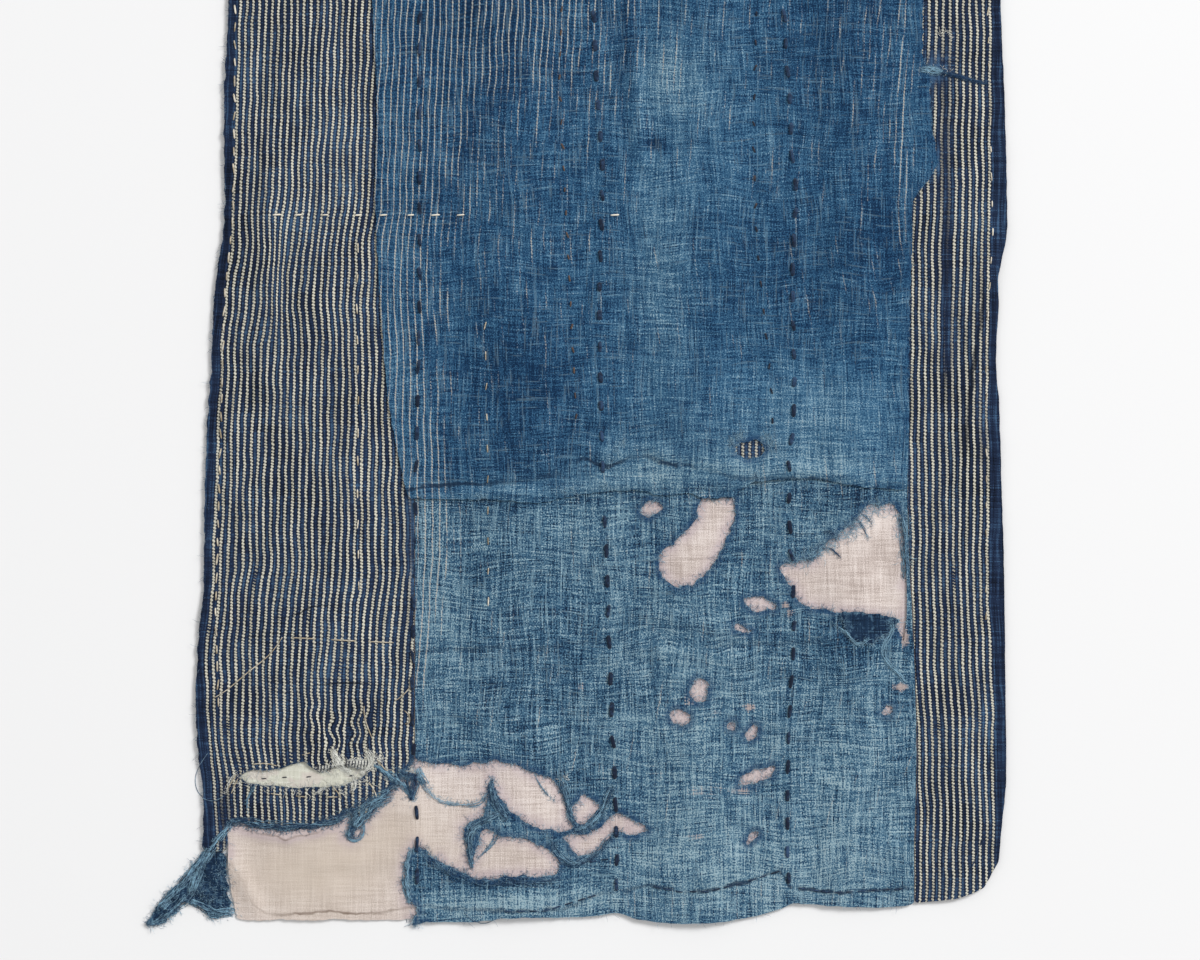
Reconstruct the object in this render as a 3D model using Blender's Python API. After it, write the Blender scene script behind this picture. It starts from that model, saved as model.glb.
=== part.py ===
"""A boro patched cloth: worn indigo cottons sewn over a pale lining, laid flat.

Blender units are metres, with +Z up. The cloth lies on Z = 0, its hem towards -Y. Places on it
are given as a mender measures them, in millimetres: "across" from the middle line, positive to
the right, and "up" from the hem line. The origin is under the middle of the cloth.
"""

import math

import bmesh
import bpy
from mathutils import Vector

# Driving sizes, in millimetres.
MM = 0.001
LENGTH = 750.0
CLOTH = 1.0
GAP = 0.3
LAYER = CLOTH + GAP
CELL = 20.0
SNAP = 0.2
SMOOTH_STEP = 14.0

# The two striped cottons meet under the upper indigo cloth, and stop where the lower one starts.
STRIPES_MEET = 20.0
LAP_TOP = 278.0
SEAM_GAP = 0.6
LINING_INSET = 5.5
PANEL_JOIN = -115.0

# Columns: up, across. The cloth's own sides, from the hem to the top.
LEFT_SIDE = (
    (43, -246), (81, -245.5), (99, -248.5), (136, -250.5), (183, -248), (198, -245.5), (260, -245),
    (310, -243), (335, -241), (384, -239), (422, -234), (446, -232.5), (508, -232.5), (570, -230),
    (660, -228), (LENGTH, -227),
)
RIGHT_SIDE = (
    (20, 237.5), (37, 247), (62, 249), (87, 251.5), (149, 251), (223, 250), (273, 248.5),
    (322, 247), (347, 245), (384, 247), (397, 246), (422, 251.5), (446, 252), (508, 250.5),
    (570, 248), (660, 247), (LENGTH, 247),
)

# Columns: up, across. Where the right-hand striped cloth laps the indigo.
STRIP_INNER_SIDE = (
    (11, 195), (50, 195), (99, 196.5), (149, 195.5), (186, 194), (223, 192), (260, 191),
    (LAP_TOP + SEAM_GAP, 191),
)

# Columns: across, up. The hem, from left to right, and the narrow end of the right-hand cloth.
INDIGO_HEM = (
    (-118, -3), (-111, -1), (-99, -1), (-74, -0.5), (-59, 1.5), (-37, 2), (-12, 2), (0, 3.5),
    (10.5, 5), (22, 1), (43, -1.5), (66, -1.5), (87, 1), (108, 6), (120, 11), (124, 10.5),
    (155, 8.5), (173, 8), (189, 9), (194.4, 10.5),
)
STRIP_HEM = ((195, 11), (208, 12), (223, 14), (237.5, 20))
LINING_HEM = (
    (-224.5, 0.5), (-210, 0), (-195, 0.5), (-178, 0), (-160, 0.7), (-140, 0), (-122, 0.5),
    (-99, 3), (-59, 5.5), (0, 7.5), (10.5, 9), (22, 5), (43, 2.5), (66, 2.5), (87, 5), (108, 10),
    (120, 15), (155, 12.5), (189, 13), (208, 16), (223, 18), (233, 24), (240, 36),
)
LINING_LOWER_LEFT = ((-238, 100), (-236, 70), (-231, 58), (-230.4, 48), (-230, 30), (-228, 15))

# Columns: across, up. The torn foot of the left-hand striped cloth, from its narrow left tail to
# the indigo, with the twisted shred that hangs from it.
STRIPED_FOOT = (
    (-246, 43), (-231, 43), (-230.5, 60), (-220, 60), (-210, 57), (-192, 56), (-173, 58.5),
    (-164, 60), (-158, 66), (-152, 67), (-156, 57), (-158, 52), (-154, 50.5), (-149, 57),
    (-141, 67), (-133, 77), (-126, 84), (-124, 88), (-119, 93), (-115, 100),
)

# Columns: across, then the height of each edge of the great tear in the lower indigo: the cloth
# above it, the top and the foot of the shred that still crosses it, and the cloth below it.
GREAT_TEAR = (
    (-114.4, 99, None, None, 46), (-98, 97, None, None, 36), (-84, 96, 57, 52, 28),
    (-80, 97, 61, 34, 27), (-75, 98, 62, 50, 26), (-71, 98, 68, 57, 26), (-67.5, 98, 88, 56, 26),
    (-62, 99, 75, 52, 27), (-50, 96, 63, 52, 28), (-37, 90, 57, 47, 27), (-30, 88, 56, 42, 28),
    (-25, 83, 55, 36, 30), (-18, 60, 56, None, None),
)
TORN_CORNER = ((-119, 40), (-121, 31), (-122, 22), (-119, 12.5), (-113, 9), (-115, 1))

# Columns: across, top edge, bottom edge. Holes worn through the lower indigo, section by section.
TEAR_BY_THE_STITCHES = (
    (-23, 51.5, 49.5), (-18, 53.5, 44.5), (-12, 53.5, 39.5), (-6, 55, 39.5), (0, 57.5, 43.5),
    (5, 63, 51), (8.5, 67.5, 54.5), (17, 64, 54), (23.5, 61, 53.5), (30, 56.5, 55),
)
TEAR_ABOVE_THE_BAND = ((-17, 71, 66), (-13, 76, 60), (-9.5, 78, 59.5), (-5, 76, 64), (-1, 71, 69))
BIG_RIGHT_HOLE = (
    (110.5, 219.5, 218), (118, 222, 207), (124, 222.5, 196), (131.5, 223, 193.5), (140, 235, 192),
    (149, 240.5, 190.5), (156, 245.5, 189.5), (162.5, 254, 189), (170.5, 258, 188),
    (178.5, 258, 186.5), (185, 255.5, 180), (188, 242, 172), (190, 208, 190),
)

# Columns: up, left edge, right edge.
BEAN_HOLE = (
    (261.5, 62, 84), (248, 59.5, 83.5), (242, 54, 80), (232.5, 43.5, 77), (226.5, 36, 73),
    (219, 35.5, 69.5), (212.5, 38.5, 64), (206.5, 47, 54),
)

# Columns: across, up, length, width, tilt in degrees. Small worn holes over 4 mm wide.
SMALL_HOLES = (
    (31.5, 255, 15, 9, 25), (99, 196, 22, 8, -5), (88, 180.5, 11, 5, 0), (61, 142.5, 17, 11.5, 80),
    (50, 126, 14, 10, -20), (94, 116, 12, 6, 65), (82, 121, 8, 5, 20), (97, 89.5, 27, 8, 22),
    (178, 130, 10, 6, 70), (94, 51.5, 10, 5, 35),
)
UPPER_HOLE = ((93, 291.5, 20, 11, 0),)
SMALL_HOLE_POINTS = 10

# Columns: across, top edge, bottom edge. The slit that the pale patch closes from behind.
SLIT = (
    (-223, 89, 88), (-216, 93.5, 85), (-203, 93, 83.5), (-191, 97, 83), (-182, 99, 83),
    (-174, 92.5, 83), (-167, 95, 83), (-158, 97.5, 84), (-151, 95, 87), (-144, 93, 91),
)
PATCH_LOW, PATCH_HIGH = (-226.0, 78.0), (-140.3, 101.0)

# Columns: across, up for the lap; up, across for the sides of the upper indigo cloth.
UPPER_LAP = (
    (-118.5, 261.5), (-99, 261), (-62, 260.5), (-37, 258.5), (-21.5, 262), (0, 265.5), (25, 266.5),
    (38.5, 263), (56, 265), (62, 261.5), (83.5, 263), (94, 271.5), (124, 273.5), (136, 273.5),
    (155, 269.5), (167, 268), (190, 266.5),
)
UPPER_RIGHT_SIDE = (
    (266.5, 190), (298, 191), (372, 191.5), (422, 193.5), (446, 193.5), (456, 201.5),
    (468, 209.5), (484, 206.5), (508, 204.5), (524, 204.5), (533, 200), (570, 200), (LENGTH, 204),
)
UPPER_LEFT_SIDE = (
    (261.5, -118.5), (273, -121.5), (322, -131), (384, -136), (446, -139), (508, -138),
    (570, -141), (LENGTH, -146),
)

# Columns: across, up. The torn corner that has fallen beside the lining, with its frayed tail.
FALLEN_CORNER = (
    (-246, 42.6), (-254, 32), (-263, 21.5), (-271, 13.5), (-275, 7), (-281.5, -1), (-276, -4),
    (-269.5, -1), (-265, 2), (-260, 8.5), (-255.5, 12), (-252, 10.5), (-245, 7), (-240.5, 0),
    (-236, 2), (-230, 3), (-228.5, 9), (-230.4, 20), (-231.2, 30), (-231.4, 42.6),
)
CORNER_CELL = 10.0
CORNER_CLOTH = 1.4
CORNER_RISE = 1.1
CORNER_FOLD = 17.0

# Columns: left and right sewn line of a bay, then how far it swells at the hem, middle and top.
SWELLS = (
    (-246, -112, 1.4, 2.6, 1.8), (-112, 4, 2.0, 2.8, 2.0), (4, 118, 3.0, 2.2, 2.4),
    (118, 193, 1.8, 2.4, 1.6), (193, 252, 1.2, 2.0, 1.4),
)
FLAT_SHARE = 0.4
SWELL_WAVE = 120.0

# Columns: across and up of one end, across and up of the other, rise, half width.
FOLDS = (
    (240, 430, 226, 270, 3.0, 17), (-203, 480, -206, 335, 2.4, 18), (66, 26, 117, 58, 1.6, 17),
    (-150, 350, -158, 180, 1.5, 18), (150, 700, 160, 600, 2.0, 20), (-60, 720, -70, 560, 2.2, 22),
)

# Columns: red, green, blue, roughness.
PALE = (0.61, 0.50, 0.44, 0.95)
WHITE_PATCH = (0.66, 0.65, 0.55, 0.95)
STRIPED = (0.12, 0.14, 0.19, 0.9)
INDIGO = (0.045, 0.12, 0.25, 0.9)
WORN_INDIGO = (0.09, 0.20, 0.32, 0.92)
DARK_INDIGO = (0.03, 0.07, 0.15, 0.92)


def smooth_line(points):
    """A rounded line through the points, as a Catmull-Rom curve with a point every SMOOTH_STEP."""
    ends = [points[0], *points, points[-1]]
    line = [Vector(points[0])]
    for before, start, end, after in zip(ends, ends[1:], ends[2:], ends[3:]):
        a, b, c, d = (Vector(p) for p in (before, start, end, after))
        pieces = max(1, round((c - b).length / SMOOTH_STEP))
        for n in range(1, pieces + 1):
            t = n / pieces
            line.append(
                0.5 * (2 * b + (c - a) * t + (2 * a - 5 * b + 4 * c - d) * t * t
                       + (3 * b - a - 3 * c + d) * t * t * t)
            )
    return line


def upright(rows, shift=0.0):
    """A rounded line up the cloth from rows of up, across, moved sideways by shift."""
    return smooth_line([(across + shift, up) for up, across in rows])


def between_edges(rows):
    """The outline between a top and a bottom edge, from rows of across, top, bottom."""
    tops = [Vector((across, top)) for across, top, _ in rows]
    bottoms = [Vector((across, bottom)) for across, _, bottom in rows]
    return tops + bottoms[::-1]


def between_sides(rows):
    """The outline between a left and a right edge, from rows of up, left, right."""
    lefts = [Vector((left, up)) for up, left, _ in rows]
    rights = [Vector((right, up)) for up, _, right in rows]
    return lefts + rights[::-1]


def oval(across, up, length, width, tilt):
    """The outline of a small worn hole."""
    lean = math.radians(tilt)
    points = []
    for n in range(SMALL_HOLE_POINTS):
        turn = math.tau * n / SMALL_HOLE_POINTS
        along, beside = length / 2 * math.cos(turn), width / 2 * math.sin(turn)
        points.append(
            Vector((across + along * math.cos(lean) - beside * math.sin(lean),
                    up + along * math.sin(lean) + beside * math.cos(lean)))
        )
    return points


def great_tear():
    """The edge of the tear that is open to the left: along its top, round the shred, and back."""
    upper = [(row[0], row[1]) for row in GREAT_TEAR]
    shred_top = [(row[0], row[2]) for row in GREAT_TEAR if row[2] is not None]
    shred_foot = [(row[0], row[3]) for row in GREAT_TEAR if row[3] is not None]
    lower = [(row[0], row[4]) for row in GREAT_TEAR if row[4] is not None]
    return [Vector(p) for p in upper + shred_top[::-1] + shred_foot + lower[::-1]]


def swell(across, up):
    """How far the cloth stands up between two sewn lines: nothing beside them, most half way."""
    for left, right, at_hem, at_middle, at_top in SWELLS:
        if left <= across <= right:
            share = up / LENGTH
            if share < 0.5:
                rise = at_hem + (at_middle - at_hem) * 2 * share
            else:
                rise = at_middle + (at_top - at_middle) * (2 * share - 1)
            rise *= 0.8 + 0.2 * math.sin(math.tau * up / SWELL_WAVE + left)
            middle = math.sin(math.pi * (across - left) / (right - left)) ** 2
            return rise * max(0.0, middle - FLAT_SHARE) / (1 - FLAT_SHARE)
    return 0.0


def fold(across, up, row):
    """The height of one soft fold, which dies away at its ends and over its half width."""
    start, end = Vector(row[0:2]), Vector(row[2:4])
    rise, half = row[4:6]
    run = end - start
    along = (Vector((across, up)) - start).dot(run) / run.length_squared
    away = (Vector((across, up)) - start - run * min(1.0, max(0.0, along))).length
    if away >= half:
        return 0.0
    return rise * math.cos(math.pi / 2 * away / half) ** 2


def cloth_relief(across, up):
    """How far the laid cloth stands off the surface under it, in millimetres."""
    return swell(across, up) + sum(fold(across, up, row) for row in FOLDS)


def over_patch(across, up):
    """The striped cloth rides over the pale patch behind its slit."""
    beside = PATCH_LOW[0] - CELL < across < PATCH_HIGH[0] + CELL / 2
    level = PATCH_LOW[1] - CELL < up < PATCH_HIGH[1] + CELL
    return cloth_relief(across, up) + (LAYER if beside and level else 0.0)


def corner_relief(across, up):
    """The fallen corner lies in folds that run down to its tail."""
    return CORNER_RISE * math.sin(math.pi * (across + up) / CORNER_FOLD) ** 2


def on_facets(across, up, relief, cell):
    """The relief as flat facets: each grid cell is two triangles, split the same way on every
    cloth, so that stacked cloths stay the same distance apart."""
    column, row = math.floor(across / cell), math.floor(up / cell)
    s, t = across / cell - column, up / cell - row
    low = relief(column * cell, row * cell)
    high = relief((column + 1) * cell, (row + 1) * cell)
    if s >= t:
        corner = relief((column + 1) * cell, row * cell)
        return low + s * (corner - low) + t * (high - corner)
    corner = relief(column * cell, (row + 1) * cell)
    return low + t * (corner - low) + s * (high - corner)


def cut_on_grid(bm, cell):
    """Cuts a flat sheet along the grid's lines and diagonals."""
    across = [v.co.x for v in bm.verts]
    up = [v.co.y for v in bm.verts]
    slant = [v.co.x - v.co.y for v in bm.verts]
    for places, normal in ((across, (1, 0, 0)), (up, (0, 1, 0)), (slant, (1, -1, 0))):
        way = Vector(normal)
        for line in range(math.ceil(min(places) / cell), math.floor(max(places) / cell) + 1):
            bmesh.ops.bisect_plane(
                bm,
                geom=bm.verts[:] + bm.edges[:] + bm.faces[:],
                dist=SNAP,
                plane_co=way * line * cell / way.length_squared,
                plane_no=way.normalized(),
            )


def lies_on_grid(edge, cell):
    """Whether an edge runs along one of the grid's lines."""
    a, b = edge.verts[0].co, edge.verts[1].co
    for one, other in ((a.x, b.x), (a.y, b.y), (a.x - a.y, b.x - b.y)):
        line = round(one / cell) * cell
        if abs(one - line) < 2 * SNAP and abs(other - line) < 2 * SNAP:
            return True
    return False


def join_inside_cells(bm, cell):
    """Dissolves the edges that the first fill left inside a grid triangle."""
    inner = [e for e in bm.edges if len(e.link_faces) == 2 and not lies_on_grid(e, cell)]
    bmesh.ops.dissolve_edges(bm, edges=inner, use_verts=False)
    spare = [v for v in bm.verts if len(v.link_edges) == 2 and not v.is_boundary]
    bmesh.ops.dissolve_verts(bm, verts=spare)


def material(name, look):
    """A plain cloth finish."""
    made = bpy.data.materials.new(name)
    made.use_nodes = True
    shader = made.node_tree.nodes["Principled BSDF"]
    shader.inputs["Base Color"].default_value = (*look[0:3], 1.0)
    shader.inputs["Roughness"].default_value = look[3]
    shader.inputs["Metallic"].default_value = 0.0
    return made


def sheet(name, outline, look, layer=0, holes=(), relief=cloth_relief, cell=CELL, thick=CLOTH):
    """One cloth: a flat outline with its holes, cut on the grid, thickened and laid on the relief."""
    bm = bmesh.new()
    for loop in (outline, *holes):
        corners = [bm.verts.new((p.x, p.y, 0.0)) for p in loop]
        for a, b in zip(corners, corners[1:] + corners[:1]):
            bm.edges.new((a, b))
    bmesh.ops.triangle_fill(bm, use_beauty=True, edges=bm.edges[:], normal=(0, 0, 1))
    cut_on_grid(bm, cell)
    join_inside_cells(bm, cell)
    top = bmesh.ops.extrude_face_region(bm, geom=bm.faces[:])["geom"]
    for v in (item for item in top if isinstance(item, bmesh.types.BMVert)):
        v.co.z = thick
    bmesh.ops.recalc_face_normals(bm, faces=bm.faces[:])
    for v in bm.verts:
        v.co.z += on_facets(v.co.x, v.co.y, relief, cell) + layer * LAYER
        v.co = Vector((v.co.x, v.co.y - LENGTH / 2, v.co.z)) * MM
    mesh = bpy.data.meshes.new(name)
    bm.to_mesh(mesh)
    bm.free()
    mesh.materials.append(material(name, look))
    cloth = bpy.data.objects.new(name, mesh)
    bpy.context.scene.collection.objects.link(cloth)
    return cloth


def lining():
    """The pale backing, set in from the sides of the cloths on it."""
    right = upright([row for row in RIGHT_SIDE if row[0] > LINING_HEM[-1][1]], -LINING_INSET)
    left = upright([row for row in LEFT_SIDE if row[0] > LINING_LOWER_LEFT[0][1]], LINING_INSET)
    for side in (right, left):
        side[-1].y = LENGTH - LINING_INSET
    outline = smooth_line(LINING_HEM) + right + left[::-1] + [Vector(p) for p in LINING_LOWER_LEFT]
    return sheet("lining", outline, PALE)


def striped_left():
    """The left-hand striped cotton, torn off at its foot, with its upper part under the indigo."""
    step = [(PANEL_JOIN, LAP_TOP + SEAM_GAP), (STRIPES_MEET, LAP_TOP + SEAM_GAP),
            (STRIPES_MEET, LENGTH)]
    outline = [Vector(p) for p in (*STRIPED_FOOT, *step)] + upright(LEFT_SIDE[1:])[::-1]
    return sheet("striped_left", outline, STRIPED, 1, [between_edges(SLIT)], over_patch)


def striped_right():
    """The right-hand striped cotton: a narrow strip that widens under the upper indigo."""
    meet = STRIPES_MEET + SEAM_GAP
    step = [Vector((meet, LENGTH)), Vector((meet, LAP_TOP + SEAM_GAP))]
    outline = smooth_line(STRIP_HEM) + upright(RIGHT_SIDE[1:]) + step
    outline += upright(STRIP_INNER_SIDE[1:])[::-1]
    return sheet("striped_right", outline, STRIPED, 1)


def indigo_lower():
    """The lower indigo cotton, worn through to the lining."""
    side = [(up, across - SEAM_GAP) for up, across in STRIP_INNER_SIDE[1:-1]]
    corner = [Vector((STRIP_INNER_SIDE[-1][1] - SEAM_GAP, LAP_TOP)),
              Vector((PANEL_JOIN + SEAM_GAP, LAP_TOP))]
    outline = smooth_line(INDIGO_HEM) + upright(side) + corner + great_tear()
    outline += [Vector(p) for p in TORN_CORNER]
    holes = [between_edges(rows) for rows in (TEAR_BY_THE_STITCHES, TEAR_ABOVE_THE_BAND,
                                              BIG_RIGHT_HOLE)]
    holes += [between_sides(BEAN_HOLE)] + [oval(*row) for row in SMALL_HOLES]
    return sheet("indigo_lower", outline, WORN_INDIGO, 1, holes)


def indigo_upper():
    """The upper indigo cotton, sewn over the striped cloths and lapped over the lower indigo."""
    outline = smooth_line(UPPER_LAP) + upright(UPPER_RIGHT_SIDE)[1:]
    outline += upright(UPPER_LEFT_SIDE)[:0:-1]
    return sheet("indigo_upper", outline, INDIGO, 2, [oval(*row) for row in UPPER_HOLE])


def pale_patch():
    """The pale patch behind the slit in the striped cloth."""
    (left, low), (right, high) = PATCH_LOW, PATCH_HIGH
    outline = [Vector(p) for p in ((left, low), (right, low), (right, high), (left, high))]
    return sheet("pale_patch", outline, WHITE_PATCH, 1)


def fallen_corner():
    """The torn corner of indigo lying on the surface beside the lining."""
    outline = [Vector(p) for p in FALLEN_CORNER]
    return sheet("fallen_corner", outline, DARK_INDIGO, 0, (), corner_relief, CORNER_CELL,
                 CORNER_CLOTH)


for old in list(bpy.data.objects):
    bpy.data.objects.remove(old)
lining()
pale_patch()
striped_left()
striped_right()
indigo_lower()
indigo_upper()
fallen_corner()
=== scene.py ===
"""A boro patched cloth, laid flat: worn indigo and striped cottons, sewn over a pale lining.

Places on the cloth are in millimetres, as a mender measures them: "across" from the middle line,
positive to the right, and "up" from the hem. The meshes themselves are in metres.
"""

import math

import bmesh
import bpy
import numpy as np
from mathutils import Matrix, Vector
from mathutils.bvhtree import BVHTree
from mathutils.geometry import delaunay_2d_cdt
from mathutils.kdtree import KDTree


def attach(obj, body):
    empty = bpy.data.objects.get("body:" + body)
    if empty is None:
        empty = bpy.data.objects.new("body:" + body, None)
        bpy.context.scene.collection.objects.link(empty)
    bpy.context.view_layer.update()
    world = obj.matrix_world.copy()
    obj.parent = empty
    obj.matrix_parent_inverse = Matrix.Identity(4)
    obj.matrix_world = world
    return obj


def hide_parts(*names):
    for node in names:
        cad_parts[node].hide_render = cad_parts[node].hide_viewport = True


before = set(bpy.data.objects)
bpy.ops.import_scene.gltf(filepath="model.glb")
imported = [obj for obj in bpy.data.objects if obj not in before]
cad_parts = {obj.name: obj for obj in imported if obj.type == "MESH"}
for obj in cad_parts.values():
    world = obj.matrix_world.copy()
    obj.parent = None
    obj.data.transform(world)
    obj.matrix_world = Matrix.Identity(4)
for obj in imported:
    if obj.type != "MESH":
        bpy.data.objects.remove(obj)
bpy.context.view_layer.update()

# The lining
# One whole length of pale plain cotton, with a narrow hem. It lies on the surface under all the
# rest, rises a little between the lines of sewing, and shows through every hole.

MM = 0.001
LENGTH = 750.0
# How far each layer lies above the last, how thick a cloth is, how far the lowest is off the surface.
LAYER = 1.3
SHEET = 0.65
UNDER = 0.15

# Columns: left and right sewn line of a bay, then how far it swells at the hem, middle and top.
SWELLS = (
    (-246, -112, 1.4, 2.6, 1.8), (-112, 4, 2.0, 2.8, 2.0), (4, 118, 3.0, 2.2, 2.4),
    (118, 193, 1.8, 2.4, 1.6), (193, 252, 1.2, 2.0, 1.4),
)
# How much of a swell's height is cut off flat, then how long and how strong its own waves are.
FLAT_SHARE = 0.4
SWELL_WAVE = 120.0
SWELL_UNEVEN = 0.2

# Columns: across and up of one end, across and up of the other, rise, half width.
FOLDS = (
    (240, 430, 226, 270, 3.0, 15), (-203, 480, -206, 335, 2.4, 16), (66, 26, 117, 58, 1.6, 12),
    (-150, 350, -158, 180, 1.5, 16), (150, 700, 160, 600, 2.0, 20), (-60, 720, -70, 560, 2.2, 22),
    (-226, 40, -214, 8, 1.3, 9), (18, 566, 26, 470, 1.6, 9), (30, 190, 90, 178, 1.0, 9),
    (20, 168, 100, 160, 0.8, 8), (120, 178, 180, 172, 0.9, 9), (-60, 262, 40, 272, 0.7, 9),
    (-228, 350, -224, 255, 1.0, 8), (-190, 210, -150, 196, 0.8, 9), (140, 30, 180, 45, 0.9, 10),
    (-216, 56, -192, 50, 1.3, 5), (-192, 50, -168, 57, 1.1, 5), (-174, 34, -115, 38, 0.7, 6),
    (-231, 38, -214, 12, 1.0, 6), (-150, 112, -146, 150, 1.2, 8), (-176, 108, -182, 150, 0.9, 8),
)

# Rows: across, up along each line of running stitches that draws the layers together.
SEWN_LEFT = ((-113, 8), (-113.5, 68), (-116.5, 136), (-114, 260), (-111.5, 384), (-111.5, 745))
SEWN_MIDDLE = (
    (10, 14.3), (10.5, 37), (9.3, 87), (8, 112), (5.6, 174), (4.3, 223), (2.5, 254), (1, 304),
    (-0.5, 384), (1.9, 463), (-1.9, 515), (-4.3, 570), (-5, 745),
)
SEWN_RIGHT = (
    (117.8, 16.5), (116, 35), (116, 74), (116.6, 111), (118.4, 148), (120.3, 174), (119.7, 205),
    (117.8, 235), (116.6, 279), (119.7, 309), (120.3, 326), (119, 400), (121.5, 452), (119, 468),
    (117.8, 501), (115.3, 535), (113.5, 570), (113, 745),
)
# Columns: row of sewing, from one stitch to the next.
SEWN = ((SEWN_LEFT, 19.8), (SEWN_MIDDLE, 18.6), (SEWN_RIGHT, 17.5))
PUCKER = 0.7
PUCKER_REACH = 7.0
# Columns: height, spacing, seed of the ripples in the slack of the cloth.
SLACK = ((0.36, 30, 3), (0.18, 11, 4))
# How many waves add up to the ripples, and how high they mostly reach together.
RIPPLES = 14
RIPPLES_HIGH = 5.6


def ripples(across, up, spacing, seed):
    """Smooth uneven ripples of about the given spacing, mostly between -1 and 1."""
    dice = np.random.default_rng(seed)
    total = np.zeros(np.shape(across))
    for _ in range(RIPPLES):
        way, shift = dice.uniform(0, math.tau, 2)
        wave = math.tau / spacing * dice.uniform(0.6, 1.5)
        total = total + np.sin(wave * (across * math.cos(way) + up * math.sin(way)) + shift)
    return total / RIPPLES_HIGH


def along_seam(row, up):
    """Where a line of sewing lies at each height of the cloth."""
    return np.interp(up, [point[1] for point in row], [point[0] for point in row])


def rest_height(across, up):
    """How far the laid cloth stands off the surface: swells, folds, puckers and slack."""
    rise = np.zeros(np.shape(across))
    for left, right, at_hem, at_middle, at_top in SWELLS:
        size = np.interp(up, (0, LENGTH / 2, LENGTH), (at_hem, at_middle, at_top))
        size = size * (1 - SWELL_UNEVEN + SWELL_UNEVEN * np.sin(math.tau * up / SWELL_WAVE + left))
        middle = np.sin(math.pi * (across - left) / (right - left)) ** 2
        swell = size * np.maximum(0, middle - FLAT_SHARE) / (1 - FLAT_SHARE)
        rise = np.where((across >= left) & (across < right), swell, rise)
    for start_across, start_up, end_across, end_up, height, half in FOLDS:
        run = np.array((end_across - start_across, end_up - start_up))
        share = ((across - start_across) * run[0] + (up - start_up) * run[1]) / (run @ run)
        share = np.clip(share, 0, 1)
        away = np.hypot(across - start_across - run[0] * share, up - start_up - run[1] * share)
        rise = rise + height * np.where(away < half, np.cos(math.pi / 2 * away / half) ** 2, 0)
    for row, pitch in SEWN:
        away = (across - along_seam(row, up)) / PUCKER_REACH
        bump = 0.5 + 0.5 * np.cos(math.tau * (up - row[0][1]) / pitch)
        rise = rise + PUCKER * bump * np.exp(-away * away)
    slack = sum(height * (1 + ripples(across, up, spacing, seed)) for height, spacing, seed in SLACK)
    return np.maximum(rise + slack, 0)


# A face of a solid belongs to the cloth's upper side from this slope of its normal on.
UPWARD = 0.5
WELD = 1e-6


def edge_loops(node):
    """The outline and the holes of a cloth, read from its solid, in millimetres."""
    solid = bmesh.new()
    solid.from_mesh(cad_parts[node].data)
    bmesh.ops.remove_doubles(solid, verts=solid.verts, dist=WELD)
    following = {}
    for face in solid.faces:
        if face.normal.z < UPWARD:
            continue
        for corner in face.loops:
            beyond = [f for f in corner.edge.link_faces if f.normal.z >= UPWARD]
            if len(beyond) == 1:
                following[corner.vert] = corner.link_loop_next.vert
    loops = []
    while following:
        start = next(iter(following))
        points = []
        vert = start
        while vert in following:
            points.append((vert.co.x / MM, vert.co.y / MM + LENGTH / 2))
            vert = following.pop(vert)
        loops.append(np.array(points))
    solid.free()
    return loops


def lengths_along(line):
    """How far along a line each of its points lies."""
    return np.concatenate([[0], np.cumsum(np.linalg.norm(np.diff(line, axis=0), axis=1))])


RIM_STEP = 1.2
FEWEST_STEPS = 14
ROUNDINGS = 3
# How far an edge wavers, how much more a torn one does, and the spacing and share of both ripples.
RIM_WAVER = 0.12
TEAR_WAVER = 1.3
COARSE_SPACING, COARSE_SHARE = 11, 0.8
FINE_SPACING, FINE_SHARE = 3.5, 0.3


def worked_edge(points, torn, seed):
    """Rounds an edge into even steps, then frays its line where torn says that it is torn."""
    closed = np.vstack([points, points[:1]])
    run = lengths_along(closed)
    count = max(FEWEST_STEPS, round(run[-1] / RIM_STEP))
    places = np.linspace(0, run[-1], count, endpoint=False)
    line = np.column_stack([np.interp(places, run, closed[:, axis]) for axis in (0, 1)])
    for _ in range(ROUNDINGS):
        line = (np.roll(line, 1, 0) + 2 * line + np.roll(line, -1, 0)) / 4
    across, up = line[:, 0], line[:, 1]
    amount = RIM_WAVER + TEAR_WAVER * torn(across, up)[:, None]
    coarse = [ripples(across, up, COARSE_SPACING, seed + axis) for axis in (0, 1)]
    fine = [ripples(across, up, FINE_SPACING, seed + 5 + axis) for axis in (0, 1)]
    return line + amount * (COARSE_SHARE * np.column_stack(coarse) + FINE_SHARE * np.column_stack(fine))


def in_the_cloth(loops, places):
    """Which places lie inside the outline and outside the holes."""
    crossed = np.zeros(len(places), dtype=int)
    for loop in loops:
        for (x, y), (next_x, next_y) in zip(loop, np.roll(loop, -1, 0)):
            if y != next_y:
                level = (places[:, 1] >= min(y, next_y)) & (places[:, 1] < max(y, next_y))
                crossed += level & (places[:, 0] < x + (places[:, 1] - y) * (next_x - x) / (next_y - y))
    return crossed % 2 == 1


def thicken(depth):
    """Gives the flat mesh of the active object its thickness."""
    bpy.ops.object.mode_set(mode="EDIT")
    bpy.ops.mesh.select_all(action="SELECT")
    bpy.ops.mesh.extrude_region_move(TRANSFORM_OT_translate={"value": (0, 0, depth)})
    bpy.ops.mesh.select_all(action="SELECT")
    bpy.ops.mesh.normals_make_consistent(inside=False)
    bpy.ops.object.mode_set(mode="OBJECT")


# The filling that delaunay_2d_cdt makes, which is the whole hull, and how near its points may lie.
KEEP_HULL = 0
CLOSEST = 1e-5
# The pattern that a cloth is cut with starts below the cloth and ends above it.
PATTERN_FOOT = -1.0
PATTERN_TALL = 3


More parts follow.
